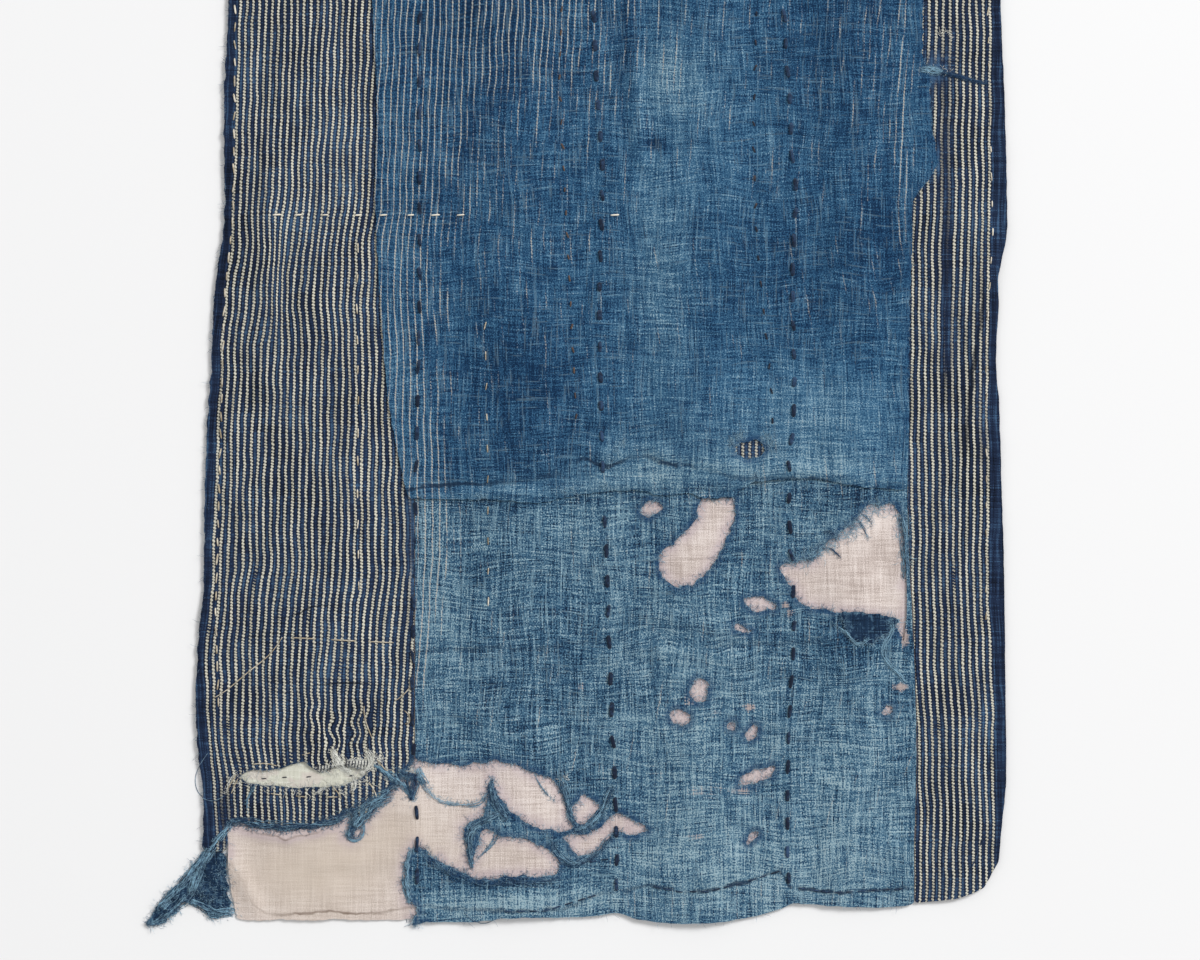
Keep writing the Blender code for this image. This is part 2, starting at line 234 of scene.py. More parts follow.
def cut_sheet(name, loops, cell):
    """Cuts the loops out of a sheet with threads a cell apart. All of it is in millimetres yet."""
    bpy.ops.object.select_all(action="DESELECT")
    corners, edges = [], []
    for loop in loops:
        first, count = len(corners), len(loop)
        corners += [Vector(point) for point in loop]
        edges += [(first + n, first + (n + 1) % count) for n in range(count)]
    points, _, faces, *_ = delaunay_2d_cdt(corners, edges, [], KEEP_HULL, CLOSEST)
    middles = np.array([sum((points[n] for n in face), Vector((0, 0))) / 3 for face in faces])
    faces = [face for face, kept in zip(faces, in_the_cloth(loops, middles)) if kept]
    pattern_mesh = bpy.data.meshes.new("pattern")
    pattern_mesh.from_pydata([(x, y, PATTERN_FOOT) for x, y in points], [], faces)
    pattern = bpy.data.objects.new("pattern", pattern_mesh)
    bpy.context.scene.collection.objects.link(pattern)
    bpy.context.view_layer.objects.active = pattern
    pattern.select_set(True)
    thicken(PATTERN_TALL)
    bpy.ops.object.select_all(action="DESELECT")

    everything = np.vstack(loops)
    low, high = everything.min(0) - cell, everything.max(0) + cell
    columns, rows = (math.ceil(side / cell) for side in high - low)
    bpy.ops.mesh.primitive_grid_add(x_subdivisions=columns, y_subdivisions=rows, size=1)
    cloth = bpy.context.object
    cloth.name = cloth.data.name = name
    cloth.scale = (high[0] - low[0], high[1] - low[1], 1)
    cloth.location = (*((low + high) / 2), 0)
    bpy.ops.object.transform_apply(location=True, rotation=True, scale=True)
    thicken(SHEET)
    cut = cloth.modifiers.new("cut", "BOOLEAN")
    cut.operation = "INTERSECT"
    cut.solver = "MANIFOLD"
    cut.object = pattern
    bpy.ops.object.modifier_apply(modifier="cut")
    bpy.data.objects.remove(pattern)
    if not cloth.data.polygons or cloth.dimensions.x > high[0] - low[0] - cell:
        raise RuntimeError(f"{name}: the sheet wasn't cut")
    cloth.data.materials.clear()
    return cloth


ABOVE_ALL = 60.0
laid = []


def height_at(across, up):
    """The height of the highest cloth laid so far at a place, or of the bare surface."""
    top = 0.0
    start = Vector((across, up - LENGTH / 2, ABOVE_ALL)) * MM
    for tree in laid:
        hit = tree.ray_cast(start, Vector((0, 0, -1)))[0]
        if hit:
            top = max(top, hit.z / MM)
    return top


def nearest_point(points, across, up):
    """How far each place is from the nearest of the points, and which point that is."""
    tree = KDTree(len(points))
    for n, point in enumerate(points):
        tree.insert((*point, 0), n)
    tree.balance()
    found = [tree.find((x, y, 0)) for x, y in zip(across, up)]
    return np.array([f[2] for f in found]), np.array([f[1] for f in found])


# How torn an edge is: a selvedge, a rubbed fold, one that is drawn up, one that is torn. Past
# TEARS_FROM, it sinks on the cloth below and rolls up a little beside the tear.
SELVEDGE, RUBBED, DRAWN_UP, TORN = 0.05, 0.15, 0.39, 1.0
TEARS_FROM = 0.4
SINK, SINK_REACH = 0.45, 3.2
ROLL, ROLL_PLACE, ROLL_REACH = 0.4, 1.8, 1.1
SMOOTH_ANGLE = 40


def lay_sheet(name, node, layer, cell, torn, seed, lift=None, sheer=None, loops=None):
    """Cuts a cloth to its solid's outline and lays it on the others, its tears sunk on what is
    below. Its threads are mapped by sheer, and the attribute "tear" is 1 at a torn edge."""
    loops = loops or edge_loops(node)
    loops = [worked_edge(loop, torn, seed) for loop in loops]
    cloth = cut_sheet(name, loops, cell)
    mesh = cloth.data
    flat = np.empty(len(mesh.vertices) * 3)
    mesh.vertices.foreach_get("co", flat)
    flat = flat.reshape(-1, 3)
    across, up = flat[:, 0].copy(), flat[:, 1].copy()
    rims = np.vstack(loops)
    ragged = torn(rims[:, 0], rims[:, 1])
    rims, ragged = rims[ragged > TEARS_FROM], ragged[ragged > TEARS_FROM]
    near = roll = np.zeros(len(flat))
    if len(rims):
        away, nearest = nearest_point(rims, across, up)
        near = np.exp(-((away / SINK_REACH) ** 2)) * np.minimum(ragged[nearest], 1)
        roll = np.exp(-(((away - ROLL_PLACE) / ROLL_REACH) ** 2)) * np.minimum(ragged[nearest], 1)
    height = flat[:, 2] + UNDER + LAYER * layer + rest_height(across, up)
    if lift:
        height = height + lift(across, up)
    if layer:
        height = height - SINK * near + ROLL * roll
    flat[:, 1] -= LENGTH / 2
    flat[:, 2] = height
    mesh.vertices.foreach_set("co", (flat * MM).ravel())
    corner_verts = np.empty(len(mesh.loops), dtype=np.int32)
    mesh.loops.foreach_get("vertex_index", corner_verts)
    thread_u, thread_v = sheer(across, up) if sheer else (across, up)
    threads = mesh.uv_layers.new(name="threads")
    places = np.column_stack([thread_u[corner_verts], thread_v[corner_verts]])
    threads.data.foreach_set("uv", places.ravel())
    set_mask(cloth, "tear", near)
    mesh.update()
    bpy.ops.object.shade_smooth_by_angle(angle=math.radians(SMOOTH_ANGLE))
    laid.append(BVHTree.FromObject(cloth, bpy.context.evaluated_depsgraph_get()))
    return cloth, loops


def beside(points, across, up):
    """How far each place lies from the line through the points, below 0 on its right-hand side."""
    nearest = np.full(len(across), 1e9)
    signed = nearest.copy()
    for start, end in zip(points, points[1:]):
        run = np.subtract(end, start)
        share = np.clip(((across - start[0]) * run[0] + (up - start[1]) * run[1]) / (run @ run), 0, 1)
        x, y = across - start[0] - run[0] * share, up - start[1] - run[1] * share
        away = np.hypot(x, y)
        signed = np.where(away < nearest, away * np.sign(run[0] * y - run[1] * x), signed)
        nearest = np.minimum(nearest, away)
    return signed


def past(line, along, value):
    """How far each value is past a line, whose rows hold a place along it and its value there."""
    return value - np.interp(along, *np.transpose(line))


def set_mask(cloth, name, values):
    """Stores one number for each point of a cloth, for its material."""
    mask = cloth.data.attributes.new(name, "FLOAT", "POINT")
    mask.data.foreach_set("value", np.asarray(values, dtype=np.float32))


def places_on(cloth):
    """Across and up of each point of a laid cloth."""
    flat = np.empty(len(cloth.data.vertices) * 3)
    cloth.data.vertices.foreach_get("co", flat)
    flat = flat.reshape(-1, 3) / MM
    return flat[:, 0], flat[:, 1] + LENGTH / 2


def patches(rows, across, up):
    """Soft patches, from rows of across, up, half width, half height, strength."""
    total = np.zeros(len(across))
    for at_across, at_up, wide, tall, strength in rows:
        away = ((across - at_across) / wide) ** 2 + ((up - at_up) / tall) ** 2
        total += strength * np.exp(-away)
    return total


def set_patches(cloth, **masks):
    """Stores masks that are soft patches, and gives across and up of each point of the cloth."""
    across, up = places_on(cloth)
    for name, rows in masks.items():
        set_mask(cloth, name, patches(rows, across, up))
    return across, up


def declare(cloth, loops, node=None):
    """Attaches a cloth to the root and hides the solid that it stands for. The area of its loops is summed
    but not kept.
    """
    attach(cloth, "root")
    if node:
        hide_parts(node)
    area = 0.0
    for loop in loops:
        x, y = loop[:, 0] * MM, loop[:, 1] * MM
        area += (x @ np.roll(y, -1) - y @ np.roll(x, -1)) / 2


class Yarn:
    """A value in a material, on which sums and products add their own Math nodes."""

    def __init__(self, tree, socket=None):
        self.tree = tree
        self.socket = socket

    def node(self, kind, settings=None, inputs=None, output=0):
        """Adds a node with its settings, then the values or the links of its sockets."""
        made = self.tree.nodes.new("ShaderNode" + kind)
        for name, value in (settings or {}).items():
            if name == "stops":
                ends = made.color_ramp.elements
                ends[0].position, ends[0].color = value[0][0], (*value[0][1], 1)
                ends[1].position, ends[1].color = value[-1][0], (*value[-1][1], 1)
                for position, colour in value[1:-1]:
                    ends.new(position).color = (*colour, 1)
            else:
                setattr(made, name, value)
        for name, value in (inputs or {}).items():
            socket = made.inputs[name]
            if isinstance(value, Yarn):
                self.tree.links.new(value.socket, socket)
            elif isinstance(value, tuple) and socket.type == "RGBA":
                socket.default_value = (*value, 1)
            else:
                socket.default_value = value
        return Yarn(self.tree, made.outputs[output])

    def sum(self, operation, other=None, swapped=False):
        """One Math node."""
        pair = (other, self) if swapped else (self, other)
        return self.node("Math", {"operation": operation},
                         {n: value for n, value in enumerate(pair) if value is not None})

    def __add__(self, other):
        return self.sum("ADD", other)

    __radd__ = __add__

    def __mul__(self, other):
        return self.sum("MULTIPLY", other)

    __rmul__ = __mul__

    def __sub__(self, other):
        return self.sum("SUBTRACT", other)

    def __rsub__(self, other):
        return self.sum("SUBTRACT", other, swapped=True)

    def __truediv__(self, other):
        return self.sum("DIVIDE", other)


def between(value, low, high):
    """0 below low, 1 above high, and a soft step from one to the other."""
    return value.node("MapRange", {"interpolation_type": "SMOOTHSTEP"},
                      {"Value": value, "From Min": low, "From Max": high})


def streaks(u, v, across_scale, up_scale, seed, detail=2.0):
    """Uneven marks, drawn out along the threads where one scale is smaller than the other."""
    place = u.node("CombineXYZ", None, {"X": u * across_scale + seed * 17.3, "Y": v * up_scale})
    return u.node("TexNoise", {"noise_dimensions": "2D"},
                  {"Vector": place, "Scale": 1.0, "Detail": detail, "Roughness": 0.6})


def blend(factor, low, high):
    """A colour between two colours."""
    return factor.node("Mix", {"data_type": "RGBA"}, {0: factor, 6: low, 7: high}, output=2)


def threads_of(material):
    """The place of each thread: how far across and how far up the cloth it lies."""
    yarn = Yarn(material.node_tree)
    place = yarn.node("UVMap", {"uv_map": "threads"})
    parts = yarn.node("SeparateXYZ", None, {"Vector": place})
    return parts, Yarn(yarn.tree, parts.socket.node.outputs[1])


def mask_of(yarn, name):
    """A mask that set_mask stored."""
    return yarn.node("Attribute", {"attribute_name": name}, output=2)


COTTON_SHINE = 0.12
SHEEN_SPREAD = 0.6
BUMP_STRENGTH = 0.6


def new_finish(name, roughness, sheen=0.0):
    """An empty cotton finish."""
    material = bpy.data.materials.new(name)
    material.use_nodes = True
    shader = material.node_tree.nodes["Principled BSDF"]
    shader.inputs["Roughness"].default_value = roughness
    shader.inputs["Specular IOR Level"].default_value = COTTON_SHINE
    shader.inputs["Sheen Weight"].default_value = sheen
    shader.inputs["Sheen Roughness"].default_value = SHEEN_SPREAD
    return material


def set_finish(material, colour, height, depth):
    """Links the colour and the relief of the threads."""
    shader = material.node_tree.nodes["Principled BSDF"]
    material.node_tree.links.new(colour.socket, shader.inputs["Base Color"])
    bump = colour.node("Bump", None, {"Strength": BUMP_STRENGTH, "Distance": depth, "Height": height})
    material.node_tree.links.new(bump.socket, shader.inputs["Normal"])


def uneven(tone, *parts):
    """A tone made uneven by parts: each is a value near 0.5, and how much it changes the tone."""
    for value, share in parts:
        tone = tone + (value - 0.5) * share
    return tone


def woven(u, v, pitch, seed):
    """The tone of every thread as it goes over and under, near 0.5, and how round it stands."""
    crossing = (u * (math.pi / pitch)).sum("SINE") * (v * (math.pi / pitch)).sum("SINE")
    over = between(crossing, -0.3, 0.3) * 0.6 + 0.2
    warp = streaks((u / pitch).sum("FLOOR"), v, 5.3, 0.04, seed, 1.0)
    weft = streaks(u, (v / pitch).sum("FLOOR"), 0.05, 5.3, seed + 1, 1.0)
    return warp * over + weft * (1 - over), crossing.sum("ABSOLUTE")


def creased(away, half):
    """A soft line where the distance away from it is near nothing."""
    return 1 - between(away.sum("ABSOLUTE"), half * 0.2, half)


THREAD_PITCH = 0.76
LINING_THREADS = ((0.0, (0.40, 0.33, 0.30)), (0.5, (0.61, 0.525, 0.485)), (1.0, (0.78, 0.70, 0.66)))
LINING_SUNNED = (0.575, 0.49, 0.405)
LINING_STAIN = (0.46, 0.37, 0.41)
# Painted shade, laid in the lining's creases.
LINING_CREASE_SHADE = (0.17, 0.12, 0.09)


def lining_finish():
    """Washed pale cotton, warmer where it is bare at the foot, dyed mauve along the tears, and darkened with
    painted shade along its creases.
    """
    material = new_finish("washed_lining", 0.95)
    u, v = threads_of(material)
    thread, raised = woven(u, v, THREAD_PITCH, 1)
    speck = streaks(u, v, 1.5, 1.5, 3)
    clouds = streaks(u, v, 0.035, 0.03, 4)
    tone = uneven(0.51, (thread, 1.8), (speck, 1.7), (clouds, 0.8)) + mask_of(u, "lit") * 0.22
    colour = u.node("ValToRGB", {"stops": LINING_THREADS}, {"Fac": tone})
    colour = blend(mask_of(u, "sunned") * 0.75, colour, LINING_SUNNED)
    stain = mask_of(u, "stain") * (0.2 + streaks(u, v, 0.12, 0.12, 5))
    colour = blend(stain.sum("MINIMUM", 0.5), colour, LINING_STAIN)
    # Painted shade darkens the lining in a soft brown line along the crease of its hem and along the foot of
    # the ridge.
    wander = (streaks(u, v, 0.1, 0.1, 21) - 0.5) * 3.5
    fold = creased(mask_of(u, "fold") + wander, 1.2) * (1 - between(u, -116.0, -108.0))
    patchy = 0.25 + streaks(u, v, 0.09, 0.09, 31, 1.0) * 0.9
    colour = blend(fold * mask_of(u, "fold_depth") * patchy, colour, LINING_CREASE_SHADE)
    set_finish(material, colour, raised * 0.6 + thread, 0.0003)
    return material


# How tall the hems of the lining and of the lower cloth are.
HEM_TALL = 14


def hem_puckered(across, up):
    """The narrow hem of the lining has drawn up a little between its stitches, at the left."""
    return np.where((up < HEM_TALL) & (across < -100), DRAWN_UP, 0.0)


lining, lining_loops = lay_sheet("cotton_lining", "lining", 0, 3.4, torn=hem_puckered, seed=11)
lining.data.materials.append(lining_finish())
# Columns of every row of a patch, here and below: across, up, half width, half height, strength.
SUNNED = ((-180, 30, 60, 34, 1.0), (-130, 60, 40, 26, 0.5), (-60, 45, 50, 20, 0.25))
# Where the painted shade along the lining's creases is strong.
LINING_FOLD_SHADES = ((-165, 5, 50, 9, 1.0), (-194, 51, 26, 6, 0.8), (-226, 30, 6, 14, 0.3))
LINING_LIT = ((-92, 82, 30, 18, 1.0), (-40, 74, 30, 22, 0.7), (168, 245, 22, 14, 0.5))
RIDGE_STAIN = ((-222, 58, 8, 4, 0.8), (-207, 55.5, 10, 4, 1.2), (-194, 52.5, 8, 4, 1.3),
               (-181, 55, 9, 3.5, 1.1), (-167, 59, 9, 3, 0.8))
across, up = set_patches(lining, fold_depth=LINING_FOLD_SHADES, lit=LINING_LIT)
set_mask(lining, "sunned", np.clip(patches(SUNNED, across, up), 0, 1))
STAIN_REACH = 5.0
rims = np.vstack([loop for node in ("indigo_lower", "striped_left") for loop in edge_loops(node)])
away = nearest_point(rims, across, up)[0]
stain = np.exp(-((away / STAIN_REACH) ** 2)) + patches(RIDGE_STAIN, across, up)
set_mask(lining, "stain", stain)
# Rows: across, up along the crease that runs down the side and on along the hem, darkened with painted shade.
HEM_FOLD = (
    (-234, 50), (-230.6, 38), (-222, 26), (-214.2, 9.3), (-207.7, 4.4), (-194.7, 3.6), (-180, 4.2),
    (-167, 6), (-154, 4.7), (-141, 4.3), (-128, 6), (-117.4, 8), (-60, 8),
)
# Rows: across, up along the foot of the ridge below the torn edge of the striped cloth, where painted shade
# darkens the lining too.
RIDGE_LINE = (
    (-228.5, 57.7), (-218, 55.5), (-208, 54.3), (-200, 52.3), (-194.4, 50.2), (-189, 51.6),
    (-183.5, 52.9), (-176, 55), (-169.9, 57), (-160.3, 60.5),
)
hem_fold, ridge_line = (beside(points, across, up) for points in (HEM_FOLD, RIDGE_LINE))
set_mask(lining, "fold", np.where(np.abs(hem_fold) < np.abs(ridge_line), hem_fold, -ridge_line))
declare(lining, lining_loops, "lining")

# The pale patch
# A scrap of greenish white cotton, sewn to the lining behind the slit in the striped cloth with
# a few dark stitches.

PATCH_THREADS = ((0.0, (0.42, 0.42, 0.34)), (0.5, (0.66, 0.655, 0.56)), (1.0, (0.80, 0.80, 0.72)))
PATCH_STAIN = (0.62, 0.53, 0.50)


def patch_finish():
    """Bleached coarse cotton."""
    material = new_finish("bleached_patch", 0.95)
    u, v = threads_of(material)
    thread, raised = woven(u, v, THREAD_PITCH, 6)
    # Painted highlight: the crowns of the threads are painted paler than the gaps between them.
    tone = uneven(0.5, (thread, 1.1)) + raised * 0.12
    colour = u.node("ValToRGB", {"stops": PATCH_THREADS}, {"Fac": tone})
    pink = 1 - between(streaks(u, v, 0.06, 0.1, 7), 0.40, 0.55)
    colour = blend(pink * 0.5, colour, PATCH_STAIN)
    set_finish(material, colour, raised, 0.0003)
    return material


def patch_torn(across, up):
    """The patch was torn from a larger cloth, so all its sides are a little frayed."""
    return np.full(np.shape(across), TEARS_FROM)


patch, patch_loops = lay_sheet("bleached_patch", "pale_patch", 1, 1.6, torn=patch_torn, seed=21)
patch.data.materials.append(patch_finish())
declare(patch, patch_loops, "pale_patch")

# The striped cottons
# Two lengths of indigo cotton with paired cream warp threads every 4 mm. The left one is torn off
# along its foot and slit above the patch. Both run on under the upper indigo cloth.

# Columns: up, across of the first cream stripe, across of the one LEFT_APART or RIGHT_APART on.
LEFT_STRIPES = (
    (30, -235.5, -117), (45, -236.5, -117), (87, -238.7, -116), (112, -242, -115.3), (136, -243, -113.6),
    (161, -243, -112.5), (174, -243, -111.6), (198, -240.7, -110), (220, -238.7, -108),
    (260, -238, -108.5), (322, -235.6, -109), (384, -233, -109), (422, -228.8, -109),
    (446, -226.6, -107.9), (508, -224.4, -105.4), (570, -222.6, -102.6), (750, -220, -99),
)
LEFT_APART = 30
RIGHT_STRIPES = (
    (20, 198.4, 243), (74, 198.4, 243.7), (124, 197.2, 243), (161, 194.7, 241.8), (198, 193.8, 240),
    (260, 193.4, 240), (322, 193, 239), (384, 193.4, 239.3), (465, 194.7, 241.2), (570, 195.3, 241.8),
    (750, 195.3, 241.8),
)
RIGHT_APART = 11
# Columns: up of the foot and head of the tuck, across of its middle, half width, stripes lost. It
# opens within TUCK_EASE at both ends.
LEFT_TUCK = (355, 440, -199, 5.0, 0.9)
TUCK_EASE = 25
# Columns: share of a stripe's spacing, spacing, seed of the ripples in the stripes.
LEFT_SWAY = ((0.16, 45, 31), (0.07, 14, 32))
RIGHT_SWAY = ((0.14, 50, 33), (0.05, 14, 34))
# The patch above the slit where the stripes are drawn out of line most.
SLIT_DRAWN = ((-158, 114, 26, 22, 0.5),)


def swayed(rows, across, up):
    """Ripples of several sizes."""
    return sum(size * ripples(across, up, spacing, seed) for size, spacing, seed in rows)


def count_stripes(rows, apart, across, up):
    """Which stripe lies at a place, counted from the first one."""
    ups = [row[0] for row in rows]
    first = np.interp(up, ups, [row[1] for row in rows])
    last = np.interp(up, ups, [row[2] for row in rows])
    return apart * (across - first) / (last - first)


def left_sheer(across, up):
    """The left stripes sway, and a tuck takes up nearly one of them."""
    foot, head, middle, half, lost = LEFT_TUCK
    level = np.clip(np.minimum(up - foot, head - up) / TUCK_EASE, 0, 1)
    tuck = lost * level * 0.5 * np.tanh((across - middle) / half)
    drawn = patches(SLIT_DRAWN, across, up) * ripples(across, up, 16, 39)
    sway = swayed(LEFT_SWAY, across, up) + drawn
    return count_stripes(LEFT_STRIPES, LEFT_APART, across, up) + sway + tuck, up


def right_sheer(across, up):
    """The right stripes run nearly straight."""
    return count_stripes(RIGHT_STRIPES, RIGHT_APART, across, up) + swayed(RIGHT_SWAY, across, up), up


# Left, low, right and high side of the slit, and how torn its edges are.
SLIT = (-229, 79, -136, 108)
SLIT_TORN = 0.48


def foot_torn(across, up):
    """The left striped cloth is torn along its foot and round its slit, and drawn in at its side."""
    left, low, right, high = SLIT
    foot = (up < high) & (across > left)
    slit = foot & (up > low) & (across < right)
    side = np.where(across < -215, DRAWN_UP, SELVEDGE)
    return np.where(slit, SLIT_TORN, np.where(foot, TORN, side))


def inner_torn(across, up):
    """The right striped cloth is whole, with a worn inner edge."""
    return np.where(across < 200, RUBBED, SELVEDGE)


PATCH_BOX = (-226, 78, -140, 101)
PATCH_SLOPE = 11.0
# The patch along the slit where the sewing has gathered the cloth.
GATHERED = ((-165, 100, 40, 14, 0.5),)


def over_patch(across, up):
    """How far the patch lifts the striped cloth on it."""
    left, low, right, high = PATCH_BOX
    aside = np.maximum(np.maximum(left - across, across - right), 0)
    level = np.maximum(np.maximum(low - up, up - high), 0)
    rise = LAYER * np.exp(-((np.hypot(aside, level) / PATCH_SLOPE) ** 2))
    return rise + patches(GATHERED, across, up) * (1 + np.sin(across / 2.3 + up / 9))


NAVY_THREADS = ((0.0, (0.004, 0.007, 0.016)), (0.5, (0.014, 0.026, 0.062)), (1.0, (0.055, 0.12, 0.22)))
CREAM_THREADS = ((0.0, (0.14, 0.135, 0.11)), (0.5, (0.41, 0.39, 0.31)), (1.0, (0.68, 0.66, 0.56)))
# From stripe to stripe, half a stripe's width as a share of that, and the length of one float.
STRIPE_SPACING = 4.1
CREAM_HALF = 0.165
BEAD = 2.0
FRINGE = (0.02, 0.058, 0.12)
NAVY_SHADOW = (0.004, 0.007, 0.016)


def cream_stripes(u, v, half):
    """The cream stripes, as a mask: two warp threads side by side, each a row of short floats."""
    part = (u + 0.5).sum("FRACT")
    away = (part - 0.5).sum("ABSOLUTE")
    side = between(part, 0.46, 0.54)
    wobble = streaks((u + 0.5).sum("FLOOR"), v, 7.3, 0.09, 27, 1.0) * 9.0
    left_bead = (v * (math.tau / BEAD) + wobble).sum("SINE")
    right_bead = (v * (math.tau / BEAD) + wobble + 1.4).sum("SINE")
    bead = left_bead * (1 - side) + right_bead * side
    ragged = (streaks(u, v, 3.0, 0.7, 22) - 0.5) * half * 0.9
    body = 1 - between(away + ragged - bead * half * 0.3, half * 0.68, half * 1.2)
    return body, bead


def striped_finish(name, first, last):
    """Indigo cotton with cream stripes from the first to the last of them, and painted shade along its folds.
    """
    material = new_finish(name, 0.93)
    u, v = threads_of(material)
    body, bead = cream_stripes(u, v, CREAM_HALF)
    inside = between(u, first - 0.55, first - 0.45) * (1 - between(u, last + 0.45, last + 0.55))
    faded = streaks((u + 0.5).sum("FLOOR"), v, 3.7, 0.035, 8, 1.0)
    fleck = streaks(u, v, 5.0, 1.3, 9)
    cream_tone = uneven(0.52 + bead * 0.38, (faded, 1.0), (fleck, 1.3))
    cream = u.node("ValToRGB", {"stops": CREAM_THREADS}, {"Fac": cream_tone})
    thread, raised = woven(u * STRIPE_SPACING, v, THREAD_PITCH, 10)
    middle = between(((u + 0.5).sum("FRACT") - 0.5).sum("ABSOLUTE"), 0.30, 0.46)
    clouds = streaks(u, v, 0.12, 0.02, 12)
    # Painted highlight: the crowns of the threads are painted paler than the gaps between them.
    navy_tone = uneven(0.26, (thread, 1.5), (clouds, 0.7)) + raised * 0.12 + middle * 0.24
    # Paler where the cloth is rubbed, and darker below 0, from wear and as painted shade.
    navy_tone = navy_tone + mask_of(u, "rub") * 0.35
    navy = u.node("ValToRGB", {"stops": NAVY_THREADS}, {"Fac": navy_tone})
    kept = body * inside * (1 - mask_of(u, "bare").sum("MINIMUM", 1.0))
    kept = kept * between(faded + bead * 0.05, 0.17, 0.24)
    fringe = between(mask_of(u, "tear") + (fleck - 0.5) * 0.5, 0.34, 0.62)
    colour = blend(kept * (1 - fringe), navy, cream)
    colour = blend(fringe * 0.8, colour, FRINGE)
    # Painted shade along the creases of the left stripes and the tuck of the right ones.
    wander = (streaks(u, v, 0.5, 0.12, 31) - 0.5) * 2.0
    fold = creased(mask_of(u, "fold") + wander, 1.1) * mask_of(u, "fold_depth")
    colour = blend(fold.sum("MINIMUM", 0.8), colour, NAVY_SHADOW)
    set_finish(material, colour, body * 0.5 + bead * body * 0.4 + raised * 0.4, 0.0004)
    return material


# Rows of patches where the cream has worn off the stripes, and where the cloth is rubbed paler, or
# is darker where the strength is below 0: where the dye has stayed, and as painted shade among the
# puckers by the slit.
BARED = 1.6
LEFT_BARE = ((-233, 62, 5, 20, 0.6), (-115.5, 245, 3.5, 45, 0.8))
LEFT_RUB_AND_SHADE = ((-175, 208, 28, 10, 0.6), (-150, 150, 30, 8, 0.4), (-226, 410, 14, 60, -0.3),
            (-185, 470, 30, 60, 0.25), (-120, 120, 12, 20, 0.5), (-115.5, 245, 4, 45, 1.2),
            (-175, 115, 40, 18, -0.3))
# Rows: across, up along the two creases that draw in the left stripes, where painted shade darkens them.
HIGH_CREASE = ((-200, 187), (-194, 187.5), (-186, 190.5), (-178, 194.5), (-168, 195.5), (-150, 196))
LOW_CREASE = ((-190, 144), (-174, 146), (-160, 147.2), (-144, 147), (-130, 145))
# A place above this up belongs to the high crease, one below it to the low crease.
CREASES_APART = 168
# Where the painted shade along the two creases is strong.
LEFT_FOLD_SHADES = ((-181, 191, 13, 8, 1.0), (-158, 147, 15, 8, 1.0))
# Rows: up, across along the tuck in the right stripes, darkened with painted shade. The distance from it
# counts by TUCK_SOFT, which makes its line of painted shade wider than the others.
RIGHT_TUCK = ((270, 225), (294, 225.7), (315, 228), (341, 230.6), (375, 236), (420, 238.5))
TUCK_SOFT = 0.5
RIGHT_FOLD_SHADES = ((236, 378, 6, 16, 0.9), (230, 338, 6, 22, 1.1), (226, 298, 6, 18, 0.7))
RIGHT_BARE = ((214, 468, 2.2, 60, 0.9), (203, 475, 6, 12, 1.0), (205, 525, 5, 12, 0.9),
              (213, 526, 4, 8, 0.8), (237, 300, 3, 20, 0.5), (93, 291, 16, 14, 0.1),
              (214.5, 395, 2.2, 45, 0.9), (214.5, 355, 2.2, 22, 0.8))
# These rows also darken the right stripes with painted shade along their tuck, where the strength is below 0.
RIGHT_RUB_AND_SHADE = ((204, 472, 9, 12, 1.6), (208, 526, 9, 6, 1.4), (228, 300, 8, 60, -0.5),
             (247, 300, 4, 200, 0.3), (93, 291, 16, 14, 0.6))
striped_left, left_loops = lay_sheet("striped_cotton_left", "striped_left", 1, 2.6, torn=foot_torn,
                                     lift=over_patch, sheer=left_sheer, seed=41)
striped_left.data.materials.append(striped_finish("left_stripes", 0, 99))
striped_right, right_loops = lay_sheet("striped_cotton_right", "striped_right", 1, 2.6,
                                       torn=inner_torn, sheer=right_sheer, seed=51)
striped_right.data.materials.append(striped_finish("right_stripes", -99, RIGHT_APART))
across, up = set_patches(striped_left, rub=LEFT_RUB_AND_SHADE, fold_depth=LEFT_FOLD_SHADES)
set_mask(striped_left, "bare", np.clip(BARED * patches(LEFT_BARE, across, up), 0, 1))
creases = (past(line, across, up) for line in (HIGH_CREASE, LOW_CREASE))
set_mask(striped_left, "fold", np.where(up > CREASES_APART, *creases))
across, up = set_patches(striped_right, rub=RIGHT_RUB_AND_SHADE, fold_depth=RIGHT_FOLD_SHADES)
set_mask(striped_right, "bare", np.clip(BARED * patches(RIGHT_BARE, across, up), 0, 1))
set_mask(striped_right, "fold", TUCK_SOFT * past(RIGHT_TUCK, up, across))


